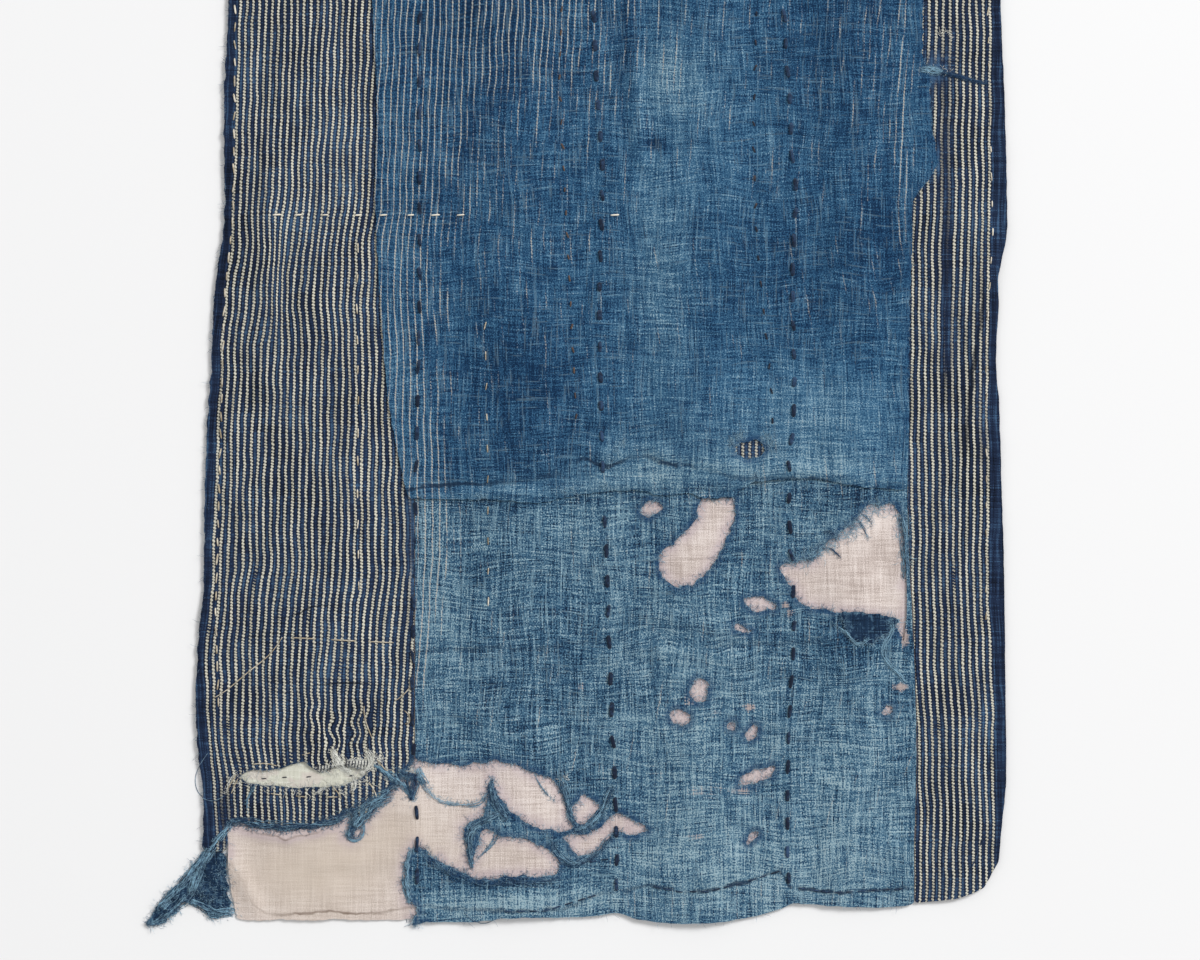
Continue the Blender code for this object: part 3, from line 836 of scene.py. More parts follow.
class Strands:
    """Threads gathered into one mesh: each is a line of points that tapers to its ends."""

    def __init__(self):
        self.points, self.faces, self.tones = [], [], []

    def add(self, line, wide, thick, tone, sides=3, taper=0.35):
        """Adds a thread along a line of across, up, height, with its half width and half height."""
        line = np.asarray(line, dtype=float)
        ahead = np.gradient(line, axis=0)
        ahead /= np.linalg.norm(ahead, axis=1, keepdims=True) + 1e-9
        aside = np.cross(ahead, (0, 0, 1))
        aside /= np.linalg.norm(aside, axis=1, keepdims=True) + 1e-9
        over = np.cross(aside, ahead)
        share = np.linspace(-1, 1, len(line))
        size = (1 - (1 - taper) * np.abs(share) ** 3)[:, None]
        first = len(self.points)
        rings = []
        for n in range(sides):
            turn = math.tau * (n + 0.5) / sides
            rings.append(line + size * (wide * math.cos(turn) * aside + thick * math.sin(turn) * over))
        self.points += list(np.stack(rings, axis=1).reshape(-1, 3))
        for row in range(len(line) - 1):
            for n in range(sides):
                a, b = first + row * sides + n, first + row * sides + (n + 1) % sides
                self.faces.append((a, b, b + sides, a + sides))
        last = first + (len(line) - 1) * sides
        self.faces.append(tuple(first + n for n in reversed(range(sides))))
        self.faces.append(tuple(last + n for n in range(sides)))
        self.tones += [tone] * (len(line) * sides)

    def make(self, name, finish):
        """Makes the mesh, which moves with the cloth."""
        places = np.array(self.points)
        places[:, 1] -= LENGTH / 2
        mesh = bpy.data.meshes.new(name)
        mesh.from_pydata([tuple(p) for p in places * MM], [], self.faces)
        mesh.materials.append(finish)
        threads = bpy.data.objects.new(name, mesh)
        bpy.context.scene.collection.objects.link(threads)
        set_mask(threads, "tone", self.tones)
        bpy.ops.object.select_all(action="DESELECT")
        bpy.context.view_layer.objects.active = threads
        threads.select_set(True)
        bpy.ops.object.mode_set(mode="EDIT")
        bpy.ops.mesh.select_all(action="SELECT")
        bpy.ops.mesh.normals_make_consistent(inside=False)
        bpy.ops.object.mode_set(mode="OBJECT")
        bpy.ops.object.shade_smooth()
        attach(threads, "root")
        return threads


def thread_finish(name, dark, light):
    """Cotton thread, uneven along its length, from a dark tone to a light one."""
    material = new_finish(name, 0.9, 0.1)
    yarn = Yarn(material.node_tree)
    place = yarn.node("TexCoord", output=3)
    fleck = yarn.node("TexNoise", None, {"Vector": place, "Scale": 1400.0, "Detail": 1.0})
    mottle = yarn.node("TexNoise", None, {"Vector": place, "Scale": 420.0, "Detail": 1.0})
    tone = uneven(mask_of(yarn, "tone"), (fleck, 0.7), (mottle, 1.1))
    colour = blend(between(tone, 0.0, 1.0), dark, light)
    set_finish(material, colour, fleck, 0.0001)
    return material


# How far a fibre lies off what is under it, and its half height.
FIBRE_OFF = 0.08
FIBRE_HALF = 0.07


def heading_to(turn):
    """One millimetre in the direction of the turn."""
    return np.array((math.cos(turn), math.sin(turn)))


def scatter_fibres(strands, places, count, spread, longest, dark, light, seed):
    """Lays short curled fibres at random near the places, on whatever is under them."""
    dice = np.random.default_rng(seed)
    for _ in range(count):
        start = places[dice.integers(len(places))] + dice.normal(0, spread, 2)
        turn, length = dice.uniform(0, math.tau), dice.uniform(0.3, 1) * longest
        reach = length * heading_to(turn)
        curl = np.array((-reach[1], reach[0])) * dice.normal(0, 0.35)
        lift = dice.uniform(FIBRE_OFF, 0.4)
        spots = (start, start + reach / 2 + curl, start + reach)
        line = [(*spot, height_at(*spot) + lift) for spot in spots]
        strands.add(line, dice.uniform(0.08, 0.15), FIBRE_HALF, dice.uniform(dark, light))


# How torn an edge has to be before loose fibres lie along it.
FRAYS_FROM = 0.5


def torn_places(loops, torn):
    """The points of the loops that lie on a torn edge."""
    rims = np.vstack(loops)
    return rims[torn(rims[:, 0], rims[:, 1]) > FRAYS_FROM]


# How far inside the edge a loose end is rooted, its shortest length, and how its aim and bend vary.
ROOT_INSET = 0.6
SHORTEST_END = 0.9
AIM_SPREAD, BEND_SPREAD = 0.75, 0.5


def fray(strands, loops, torn, per_step, longest, seed):
    """Lays loose thread ends out from the torn edges, over what is beside them."""
    dice = np.random.default_rng(seed)
    for loop in loops:
        ahead = np.roll(loop, -1, 0) - np.roll(loop, 1, 0)
        outward = np.arctan2(-ahead[:, 0], ahead[:, 1])
        for point, heading, amount in zip(loop, outward, torn(loop[:, 0], loop[:, 1])):
            for _ in range(dice.poisson(per_step * amount)):
                aim = heading + dice.normal(0, AIM_SPREAD)
                bend = dice.normal(0, BEND_SPREAD)
                length = min(longest, SHORTEST_END + dice.exponential(longest * 0.22))
                place = point - ROOT_INSET * heading_to(heading)
                start = height_at(*place) + FIBRE_OFF
                line = [(*place, start)]
                for share in (0.34, 0.67, 1.0):
                    place = place + length / 3 * heading_to(aim + bend * share)
                    floor = height_at(*place) + 0.1
                    line.append((*place, max(floor, start - 0.9 * share * length / longest)))
                strands.add(line, 0.09, FIBRE_HALF, dice.uniform(0, 1))


navy_fray = thread_finish("navy_fray", (0.02, 0.055, 0.12), (0.24, 0.36, 0.46))
foot_ends = Strands()
fray(foot_ends, left_loops, foot_torn, per_step=2.2, longest=6.0, seed=61)
scatter_fibres(foot_ends, torn_places(left_loops, foot_torn), count=1500, spread=1.3, longest=3.0,
               dark=-0.2, light=0.9, seed=62)
left_fray = foot_ends.make("striped_frayed_ends", navy_fray)
declare(striped_left, left_loops, "striped_left")
declare(striped_right, right_loops, "striped_right")

# The lower indigo cloth
# A short, much washed length of plain indigo cotton, worn through to the lining in a great tear,
# two large holes and a scatter of small ones. Its edges have frayed into pale fluff.

WASHED_THREADS = (
    (0.0, (0.005, 0.017, 0.042)), (0.25, (0.016, 0.053, 0.115)), (0.5, (0.046, 0.122, 0.205)),
    (0.75, (0.12, 0.232, 0.32)), (1.0, (0.33, 0.46, 0.52)),
)
DYED_THREADS = (
    (0.0, (0.004, 0.022, 0.062)), (0.25, (0.013, 0.055, 0.13)), (0.5, (0.034, 0.113, 0.213)),
    (0.75, (0.085, 0.20, 0.32)), (1.0, (0.25, 0.40, 0.50)),
)
# Deeper indigo and painted shade along the torn edges.
TEAR_DYE_AND_SHADE = (0.016, 0.055, 0.135)
INDIGO_SHADOW = (0.009, 0.024, 0.055)
GHOST_STRIPE = (0.48, 0.48, 0.44)
PALE_FIBRE = (0.33, 0.50, 0.58)
WORN_THROUGH = (0.47, 0.38, 0.35)
# The patch between the holes where the threads are drawn out of line most.
HOLES_DRAWN = ((70, 165, 75, 60, 1.5),)


def slack_sheer(across, up):
    """The threads of a thin old cloth wander, most of all near its holes."""
    drawn = patches(HOLES_DRAWN, across, up) * ripples(across, up, 24, 40)
    level = up + 2.2 * ripples(across, up, 60, 36) + drawn
    return across + 1.6 * ripples(across, up, 70, 35), level


def indigo_finish(name, depth, contrast, slubs):
    """Hand-dyed cotton. Depth is how much dye is gone, contrast how uneven its threads are, and
    slubs how pale its thickest threads are."""
    material = new_finish(name, 0.92)
    u, v = threads_of(material)
    thread, raised = woven(u, v, THREAD_PITCH, 13)
    fleck = streaks(u, v, 1.05, 1.05, 15, 1.0)
    clouds = streaks(u, v, 0.06, 0.03, 16, 1.0)
    drawn = streaks(u, v, 0.28, 0.02, 28, 1.0) * 0.6 + streaks(u, v, 0.02, 0.3, 29, 1.0) * 0.4
    tone = uneven(depth, (thread, contrast * 1.15), (fleck, contrast * 0.9), (clouds, 0.2), (drawn, 0.2))
    # Paler where the cloth is rubbed, and darker below 0, where the dye has stayed and as painted shade.
    tone = tone + mask_of(u, "rub") * 0.32
    dyed = u.node("ValToRGB", {"stops": DYED_THREADS}, {"Fac": tone})
    washed = u.node("ValToRGB", {"stops": WASHED_THREADS}, {"Fac": tone})
    colour = blend(mask_of(u, "washed").sum("MINIMUM", 1.0), dyed, washed)
    slub = between(streaks((u / THREAD_PITCH).sum("FLOOR"), v, 3.1, 0.035, 23, 1.0), 0.60, 0.73)
    level_slub = streaks(u, (v / THREAD_PITCH).sum("FLOOR"), 0.04, 3.1, 24, 1.0)
    slub = slub.sum("MAXIMUM", between(level_slub, 0.65, 0.77))
    colour = blend(slub * slubs, colour, PALE_FIBRE)
    count = mask_of(u, "stripe")
    body, bead = cream_stripes(count, v, 0.09)
    broken = streaks((count + 0.5).sum("FLOOR"), v, 5.3, 0.035, 17, 1.0) * 1.3 + (fleck - 0.5) * 0.7
    seen = between(broken + mask_of(u, "ghost") * 0.45, 0.8, 1.3) * (0.78 + bead * 0.22)
    colour = blend(body * seen, colour, GHOST_STRIPE)
    # Near a torn edge the cloth is painted a deeper blue, partly its less faded threads and partly painted
    # shade along the edge.
    torn = between(mask_of(u, "tear") + (fleck - 0.5) * 0.9, 0.1, 0.9)
    patchy = 0.1 + streaks(u, v, 0.09, 0.09, 30, 1.0)
    colour = blend(torn * patchy, colour, TEAR_DYE_AND_SHADE)
    # Painted shade along the hem's line, the crease and the fold drawn in above the lap.
    wander = (streaks(u, v, 0.12, 0.12, 25) - 0.5) * 5.0
    broken_fold = between(streaks(u, v, 0.08, 0.02, 26), 0.25, 0.5)
    fold = creased(mask_of(u, "fold") + wander, 2.0) * mask_of(u, "fold_depth") * broken_fold
    colour = blend(fold.sum("MINIMUM", 0.85), colour, INDIGO_SHADOW)
    worn = between(mask_of(u, "worn") + (thread - 0.5) * 1.6, 0.35, 0.75)
    colour = blend(worn * 0.85, colour, WORN_THROUGH)
    set_finish(material, colour, raised + thread * 1.5, 0.0004)
    return material


# How torn the fringed upper edge of the right-hand hole is.
FRINGED = 1.3


def tear_torn(across, up):
    """Every hole in the lower cloth is torn, and so is its corner at the left."""
    hem = (up < HEM_TALL) & (across > -108)
    side = (across > 187) | ((across < -113.2) & (up > 101)) | (up > 262)
    fringed = (across > 124) & (across < 174) & (up > 223)
    return np.where(side, SELVEDGE, np.where(hem, RUBBED, np.where(fringed, FRINGED, TORN)))


# Rows of patches that are rubbed paler, or are darker where the strength is below 0: where the dye
# has stayed, and as painted shade beside the flap and inside the rolled lower edge of the great tear.
LOWER_RUB_AND_SHADE = (
    (155, 177, 32, 14, -0.8), (158, 81, 38, 55, 0.45), (-93, 161, 14, 62, 0.4), (-12, 242, 14, 20, 0.5),
    (105, 30, 90, 26, 0.65), (10, 160, 7, 8, 0.6), (10, 122, 7, 8, 0.6), (9, 200, 7, 8, 0.5),
    (-40, 150, 60, 60, -0.2), (60, 230, 30, 14, -0.3), (60, 60, 50, 40, 0.35), (55, 160, 40, 40, 0.25),
    (-60, 11, 55, 9, 1.3), (-50, 262, 60, 8, -0.7), (150, 262, 30, 8, -0.6), (60, 120, 60, 30, 0.3),
    (-104, 37, 8, 6, -0.9), (-91, 27, 9, 5, -0.9), (-74, 23, 10, 5, -0.9), (-57, 24, 10, 5, -0.9),
    (-40, 23, 10, 5, -0.8), (-66, 78, 10, 6, -0.6), (-50, 66, 12, 5, -0.5), (-20, 60, 9, 8, -0.5),
    (-112, 24, 6, 14, -0.4),
)
lower, lower_loops = lay_sheet("indigo_cotton_lower", "indigo_lower", 1, 1.9, torn=tear_torn,
                               sheer=slack_sheer, seed=71)
lower.data.materials.append(indigo_finish("washed_indigo", 0.495, 1.7, 0.3))
# Rows of patches where the stripes below show through, where the folds are darkened with painted
# shade, and where the cloth has worn through to the lining.
LOWER_GHOST = ((-103, 240, 10, 36, 2.6), (-108, 180, 6, 42, 2.0))
LOWER_FOLD_SHADES = (
    (-60, 8, 60, 10, 0.6), (60, 22, 60, 12, 0.7), (150, 20, 60, 12, 0.8), (-75, 168, 40, 12, 0.5),
    (-20, 171, 30, 12, 0.35), (100, 172, 40, 12, 0.3),
)
WORN = (
    (189, 175, 2.6, 7, 1.0), (186, 144.5, 5.5, 3, 1.0), (92.5, 132, 4, 2.6, 0.9), (115, 195.5, 2.8, 2.6, 0.9),
    (71, 129, 10, 3, 0.45), (65, 80, 14, 5, 0.4), (33, 92, 6, 8, 0.3), (-12, 145, 3, 3, 0.5),
    (60, 52, 6, 4, 0.5), (90, 80, 10, 3, 0.5), (55, 136, 6, 4, 0.5), (118, 190, 3, 3, 0.7),
    (6, 96, 4, 5, 0.3),
)
across, up = set_patches(lower, rub=LOWER_RUB_AND_SHADE, ghost=LOWER_GHOST, fold_depth=LOWER_FOLD_SHADES, worn=WORN)
set_mask(lower, "washed", np.ones(len(across)))
set_mask(lower, "stripe", left_sheer(across, up)[0])
# Rows: across, up along the hem's line of sewing.
LOWER_HEM = (
    (-113, 9.3), (-90, 7.5), (-60, 6.2), (-34, 6.2), (-20, 8), (0, 16.7), (14, 18), (31, 21.7), (50, 18),
    (68, 18.6), (90, 24), (112, 31), (117, 21), (143, 17.4), (170, 19), (192, 19.8),
)
# Rows: across, up along the crease across the middle of the cloth.
LOWER_CREASE = ((-112, 166.8), (-68, 169.4), (-40, 168), (-20, 171), (8, 174.2), (60, 170), (190, 176))
# A place below this up belongs to the hem's line, one above it to the crease.
HEM_TO_CREASE = 90
# Painted shade darkens the cloth along the hem's line and along the crease.
creases = (past(line, across, up) for line in (LOWER_HEM, LOWER_CREASE))
set_mask(lower, "fold", np.where(up < HEM_TO_CREASE, *creases))
indigo_fray = thread_finish("indigo_fray", (0.02, 0.07, 0.155), (0.31, 0.50, 0.62))
lower_ends = Strands()
fray(lower_ends, lower_loops, tear_torn, per_step=2.6, longest=7.0, seed=81)
scatter_fibres(lower_ends, torn_places(lower_loops, tear_torn), count=3000, spread=1.4, longest=2.8,
               dark=-0.2, light=0.9, seed=82)
# Rows: across, up along the fringed upper edge of the right-hand hole.
HOLE_FRINGE = np.array((
    (118, 223), (125, 224.5), (131, 226), (135, 228), (139.5, 231), (143, 234), (147.6, 237), (151, 239.5),
    (155, 242), (158, 245), (162.4, 248), (166, 253), (170, 256), (174, 257), (186, 250), (188, 240),
    (189, 225),
))
scatter_fibres(lower_ends, HOLE_FRINGE, count=700, spread=2.4, longest=5.5, dark=0.4, light=1.4, seed=83)
lower_fray = lower_ends.make("indigo_frayed_ends", indigo_fray)
declare(lower, lower_loops, "indigo_lower")

# The upper indigo cloth
# A longer length of the same kind of cotton, sewn over the striped cloths, and lapped over the
# lower one with a folded hem. The stripes under it have rubbed through its face as broken lines.

# How torn its raw sides are, and the part of the right one that has frayed.
RAW, FRAYED = 0.3, 0.5


def upper_torn(across, up):
    """A turned hem along the lap, raw edges at the sides, and one small hole."""
    hole = np.hypot(across - 93, up - 291) < 16
    lap = (up < 277) & (np.abs(across - 34) < 148)
    side = np.where((across > 185) & (up > 300), FRAYED, RAW)
    return np.where(hole, TORN, np.where(lap, DRAWN_UP, side))


# Rows: across, up along the fold that the sewing draws in above the lap, darkened with painted shade.
DRAWN_LINE = (
    (-124, 264), (-118, 266.6), (-108.5, 269), (-74, 270), (-50, 272), (-25, 276.5), (-9.3, 287),
    (-3, 283), (2, 281.4), (8, 281.8), (18.6, 287.3), (28, 287.6), (36, 284.4), (43, 282), (53.3, 282),
    (68, 279), (84, 274), (116.6, 273.4), (136.4, 273.4), (150, 269.7), (167.4, 266), (189, 268),
)
# Rows: across, up along the edge of the turned hem.
LAP_EDGE = ((-118, 262), (-37, 259), (0, 266), (38, 264), (90, 267), (124, 274), (155, 270), (190, 267))


def lap_ridge(across, up):
    """The turned hem is thick, and draws the cloth above it into a soft ridge."""
    turned = past(LAP_EDGE, across, up)
    hem = 0.5 * np.exp(-((turned - 4) / 3) ** 2) - 0.5 * np.exp(-(turned / 2) ** 2)
    drawn = past(DRAWN_LINE, across, up)
    wave = 0.75 + 0.25 * ripples(across, up, 22, 37)
    return hem + wave * (1.3 * np.exp(-((drawn - 6) / 4.5) ** 2) + 0.9 * np.exp(-((drawn + 6) / 4) ** 2))


# Rows of patches that are rubbed paler, or are darker where the strength is below 0: where the dye
# has stayed, and as painted shade above the drawn fold.
UPPER_RUB_AND_SHADE = (
    (-50, 344, 31, 35, -0.7), (112, 406, 65, 45, -0.35), (172, 425, 20, 32, -0.6),
    (40, 521, 30, 25, 0.7), (37, 391, 20, 75, 0.6), (118, 316, 50, 30, 0.6), (93, 280, 100, 11, 0.75),
    (-50, 300, 60, 30, -0.3), (-60, 420, 60, 60, -0.1), (16, 545, 8, 40, -0.7), (35, 481, 7, 4, -1.6),
    (150, 305, 45, 30, 0.4), (70, 470, 50, 60, 0.3), (-125, 340, 8, 80, 0.35), (190, 560, 8, 200, 0.2),
    (20, 290, 30, 14, 0.4), (60, 650, 120, 60, 0.1), (-75, 560, 60, 70, -0.85), (150, 545, 45, 60, -0.5),
    (-110, 420, 30, 60, -0.3), (-90, 262, 30, 5, 0.5), (-45, 267, 25, 6, 0.6), (0, 272, 20, 7, 0.6),
    (40, 273, 20, 7, 0.5), (-60, 282, 50, 9, -0.4), (150, 280, 30, 8, 0.3),
)
# Rows of patches where the stripes below show through.
UPPER_GHOST = (
    (-66, 570, 78, 60, 1.9), (-112, 480, 34, 80, 0.9), (-116, 360, 20, 80, 0.9), (187, 496, 4.5, 90, 1.4),
    (160, 530, 34, 70, 0.5), (-60, 690, 90, 60, 1.1), (-40, 430, 50, 50, 0.4), (60, 540, 40, 60, 0.3),
    (-104, 282, 14, 30, 0.9),
)
# Rows: up, across along the cloth's left edge, where the stripes below wear through it most.
UPPER_LEFT_EDGE = ((262, -118), (310, -123), (384, -131), (480, -137), (570, -140), (750, -141))
EDGE_GHOST, EDGE_REACH = 0.8, 20
upper, upper_loops = lay_sheet("indigo_cotton_upper", "indigo_upper", 2, 2.2, torn=upper_torn,
                               lift=lap_ridge, sheer=slack_sheer, seed=91)
upper.data.materials.append(indigo_finish("dyed_indigo", 0.38, 1.35, 0.16))
# Rows of patches that are washed as pale as the lower cloth, and where the drawn fold is darkened with
# painted shade.
UPPER_WASHED = ((60, 268, 130, 34, 1.0), (40, 521, 34, 30, 0.5), (37, 391, 24, 75, 0.4))
DRAWN_FOLD_SHADES = (
    (-112, 268, 18, 10, 1.0), (-85, 270, 24, 10, 0.8), (-35, 275, 28, 10, 0.45), (3, 283, 15, 12, 1.1),
    (44, 283, 15, 12, 0.9), (88, 276, 20, 10, 0.5), (126, 273, 16, 10, 0.8), (160, 268, 16, 10, 0.8),
)
across, up = set_patches(upper, rub=UPPER_RUB_AND_SHADE, washed=UPPER_WASHED, fold_depth=DRAWN_FOLD_SHADES, worn=())
along_edge = EDGE_GHOST * np.exp(-((past(UPPER_LEFT_EDGE, up, across) / EDGE_REACH) ** 2))
set_mask(upper, "ghost", patches(UPPER_GHOST, across, up) + along_edge)
set_mask(upper, "stripe", left_sheer(across, up)[0])
set_mask(upper, "fold", past(DRAWN_LINE, across, up))
upper_ends = Strands()
fray(upper_ends, upper_loops, upper_torn, per_step=1.3, longest=4.0, seed=101)
# Rows: across, up of pale fluff round the small hole, and of knots of fluff along the lap.
HOLE_FLUFF = np.array((
    (81, 296), (84, 298), (87, 299), (102, 299), (106, 296), (107, 292), (97, 275), (99, 271),
))
LAP_FLUFF = np.array((
    (-75, 262.5), (-72, 263), (-22, 267), (-17, 267.5), (3, 269), (10, 291), (14, 296), (7, 283), (58, 264),
    (62, 266), (128, 268), (136, 262),
))
scatter_fibres(upper_ends, HOLE_FLUFF, count=300, spread=1.8, longest=3.2, dark=0.3, light=1.2, seed=102)
scatter_fibres(upper_ends, LAP_FLUFF, count=260, spread=1.6, longest=2.6, dark=0.5, light=1.4, seed=103)
upper_fray = upper_ends.make("upper_frayed_ends", indigo_fray)
declare(upper, upper_loops, "indigo_upper")

# The fallen corner and the turned-down flap
# Two scraps that the tears have left: the corner of the cloth, crumpled on the surface beside the
# lining, and the edge of the right-hand hole, folded down with its darker back showing.

CORNER_FOLD = 17.0


def corner_relief(across, up):
    """The corner's folds run down to its frayed tail."""
    folds = 1.1 * np.sin(math.pi * (across + up) / CORNER_FOLD) ** 2
    creases = 0.5 * (1 + ripples(across, up, 9, 38))
    return folds + creases - rest_height(across, up)


def all_torn(across, up):
    """Torn on every side."""
    return np.full(np.shape(across), TORN)


UNFADED_THREADS = ((0.0, (0.004, 0.010, 0.022)), (0.5, (0.012, 0.034, 0.078)), (1.0, (0.07, 0.14, 0.21)))


def corner_finish():
    """The unfaded back of the indigo cloth, with pale threads where it is rubbed."""
    material = new_finish("unfaded_indigo", 0.92)
    u, v = threads_of(material)
    thread, raised = woven(u, v, THREAD_PITCH, 18)
    pale = between(streaks(u, v, 0.3, 0.3, 20) + mask_of(u, "tear") * 0.12, 0.55, 0.75)
    # Painted highlight: the crowns of the threads are painted paler than the gaps between them.
    tone = uneven(0.36, (thread, 1.7)) + raised * 0.12 + pale * 0.5
    colour = u.node("ValToRGB", {"stops": UNFADED_THREADS}, {"Fac": tone})
    set_finish(material, colour, raised + thread, 0.0004)
    return material


unfaded = corner_finish()
corner, corner_loops = lay_sheet("fallen_cloth_corner", "fallen_corner", 0, 1.4, torn=all_torn,
                                 lift=corner_relief, seed=111)
corner.data.materials.append(unfaded)
corner_ends = Strands()
fray(corner_ends, corner_loops, all_torn, per_step=1.8, longest=6.0, seed=121)
scatter_fibres(corner_ends, torn_places(corner_loops, all_torn), count=400, spread=1.2, longest=3.0,
               dark=0.0, light=1.1, seed=122)
# Rows: across, up inside the corner, where its threads come loose from its face.
CORNER_FLUFF = np.array(((-240, 16), (-237, 26), (-246, 16)))
scatter_fibres(corner_ends, CORNER_FLUFF, count=260, spread=4.5, longest=3.5, dark=-0.2, light=0.9,
               seed=123)
corner_fray = corner_ends.make("corner_frayed_ends", indigo_fray)
declare(corner, corner_loops, "fallen_corner")

# Rows: across, up round the flap that hangs from the lower edge of the right-hand hole.
FLAP = np.array((
    (147.6, 191), (150.7, 183), (155, 175), (161, 170.5), (167.4, 171.7), (174.8, 176), (181.7, 180),
    (186, 186.6), (175, 189.5), (160, 191),
))


def flap_lift(across, up):
    """The flap is thickest at its fold, and lies down towards its torn edge."""
    return 0.25 + 0.9 * np.clip((up - 170) / 20, 0, 1) ** 2


def below_fold_torn(across, up):
    """The flap is frayed all round, but for the fold that it hangs from."""
    return np.where(up < 188, FRINGED, 0.2)


# The flap lies just above the lower cloth, which is in layer 1.
FLAP_LAYER = 1.55
flap, flap_loops = lay_sheet("turned_down_flap", None, FLAP_LAYER, 1.3, torn=all_torn, lift=flap_lift,
                             seed=131, loops=[FLAP])
flap.data.materials.append(unfaded)
flap_ends = Strands()
fray(flap_ends, flap_loops, below_fold_torn, per_step=4.0, longest=6.0, seed=141)
flap_fray = flap_ends.make("flap_frayed_ends", indigo_fray)
declare(flap, flap_loops, None)

# The twisted shreds
# Strips that still cross the tears, rolled by washing into soft blue strings with loose fibres.


def through(points, step):
    """A rounded line near the points of across, up, with its own points a step apart."""
    line = np.array(points, dtype=float)
    for _ in range(ROUNDINGS):
        middle = (line[:-1] + line[1:]) / 2
        finer = np.empty((len(line) * 2 - 1, 2))
        finer[0::2] = line
        finer[1::2] = middle
        finer[1:-1] = (finer[:-2] + 2 * finer[1:-1] + finer[2:]) / 4
        line = finer
    run = lengths_along(line)
    places = np.linspace(0, run[-1], max(3, round(run[-1] / step)))
    return np.column_stack([np.interp(places, run, line[:, axis]) for axis in (0, 1)])


def lay_thread(strands, points, wide, thick, tone, lift=0.0, sides=6, step=1.5, taper=0.5):
    """Lays one thread along a line of across, up, on whatever is under it."""
    line = through(points, step)
    strands.add([(x, y, height_at(x, y) + thick + lift) for x, y in line], wide, thick, tone, sides, taper)


# Past how many threads a strip is matted, and how far its threads lie off what is under them.
MATTED_FROM = 12
STRIP_OFF = 0.25


def frayed_strip(strands, points, widths, count, dark, light, seed):
    """Lays a torn strip as loose threads side by side. Widths are at its start, middle and end. A
    strip of many threads is matted: more of them, each only a short way along it."""
    dice = np.random.default_rng(seed)
    line = through(points, 1.2)
    ahead = np.gradient(line, axis=0)
    aside = np.column_stack([-ahead[:, 1], ahead[:, 0]])
    aside /= np.linalg.norm(aside, axis=1, keepdims=True)
    share = np.linspace(0, 1, len(line))
    half = np.interp(share, (0, 0.5, 1), widths) / 2
    matted = count > MATTED_FROM
    for _ in range(count * 3 if matted else count):
        place, wave, phase = dice.uniform(-1, 1), dice.uniform(0.15, 0.6), dice.uniform(0, math.tau)
        drift = dice.normal(0, 0.9) * (share - 0.5)
        wave = wave * np.sin(share * len(line) / dice.uniform(2, 6) + phase)
        slide = np.clip(place + drift, -1.1, 1.1) + wave
        route = line + aside * (slide * half)[:, None] + dice.normal(0, 0.16, line.shape)
        first, last = dice.uniform(-0.2, 0.3), dice.uniform(0.7, 1.3)
        if matted:
            first = dice.uniform(-0.15, 0.9)
            last = first + dice.uniform(4, 14) / len(line)
        kept = (share >= first) & (share <= last)
        if kept.sum() > 2:
            rise = STRIP_OFF + 0.3 * half * (1 - np.clip(slide * slide, 0, 1))
            spots = [(x, y, height_at(x, y) + up) for (x, y), up in zip(route[kept], rise[kept])]
            strands.add(spots, dice.uniform(0.1, 0.22), 0.12, dice.uniform(dark, light))
    fibres = round(len(line) * (2.5 + count / 8))
    scatter_fibres(strands, line, fibres, spread=half.mean() * 0.55 + 0.25, longest=2.8, dark=dark + 0.1,
                   light=light + 0.15, seed=seed)


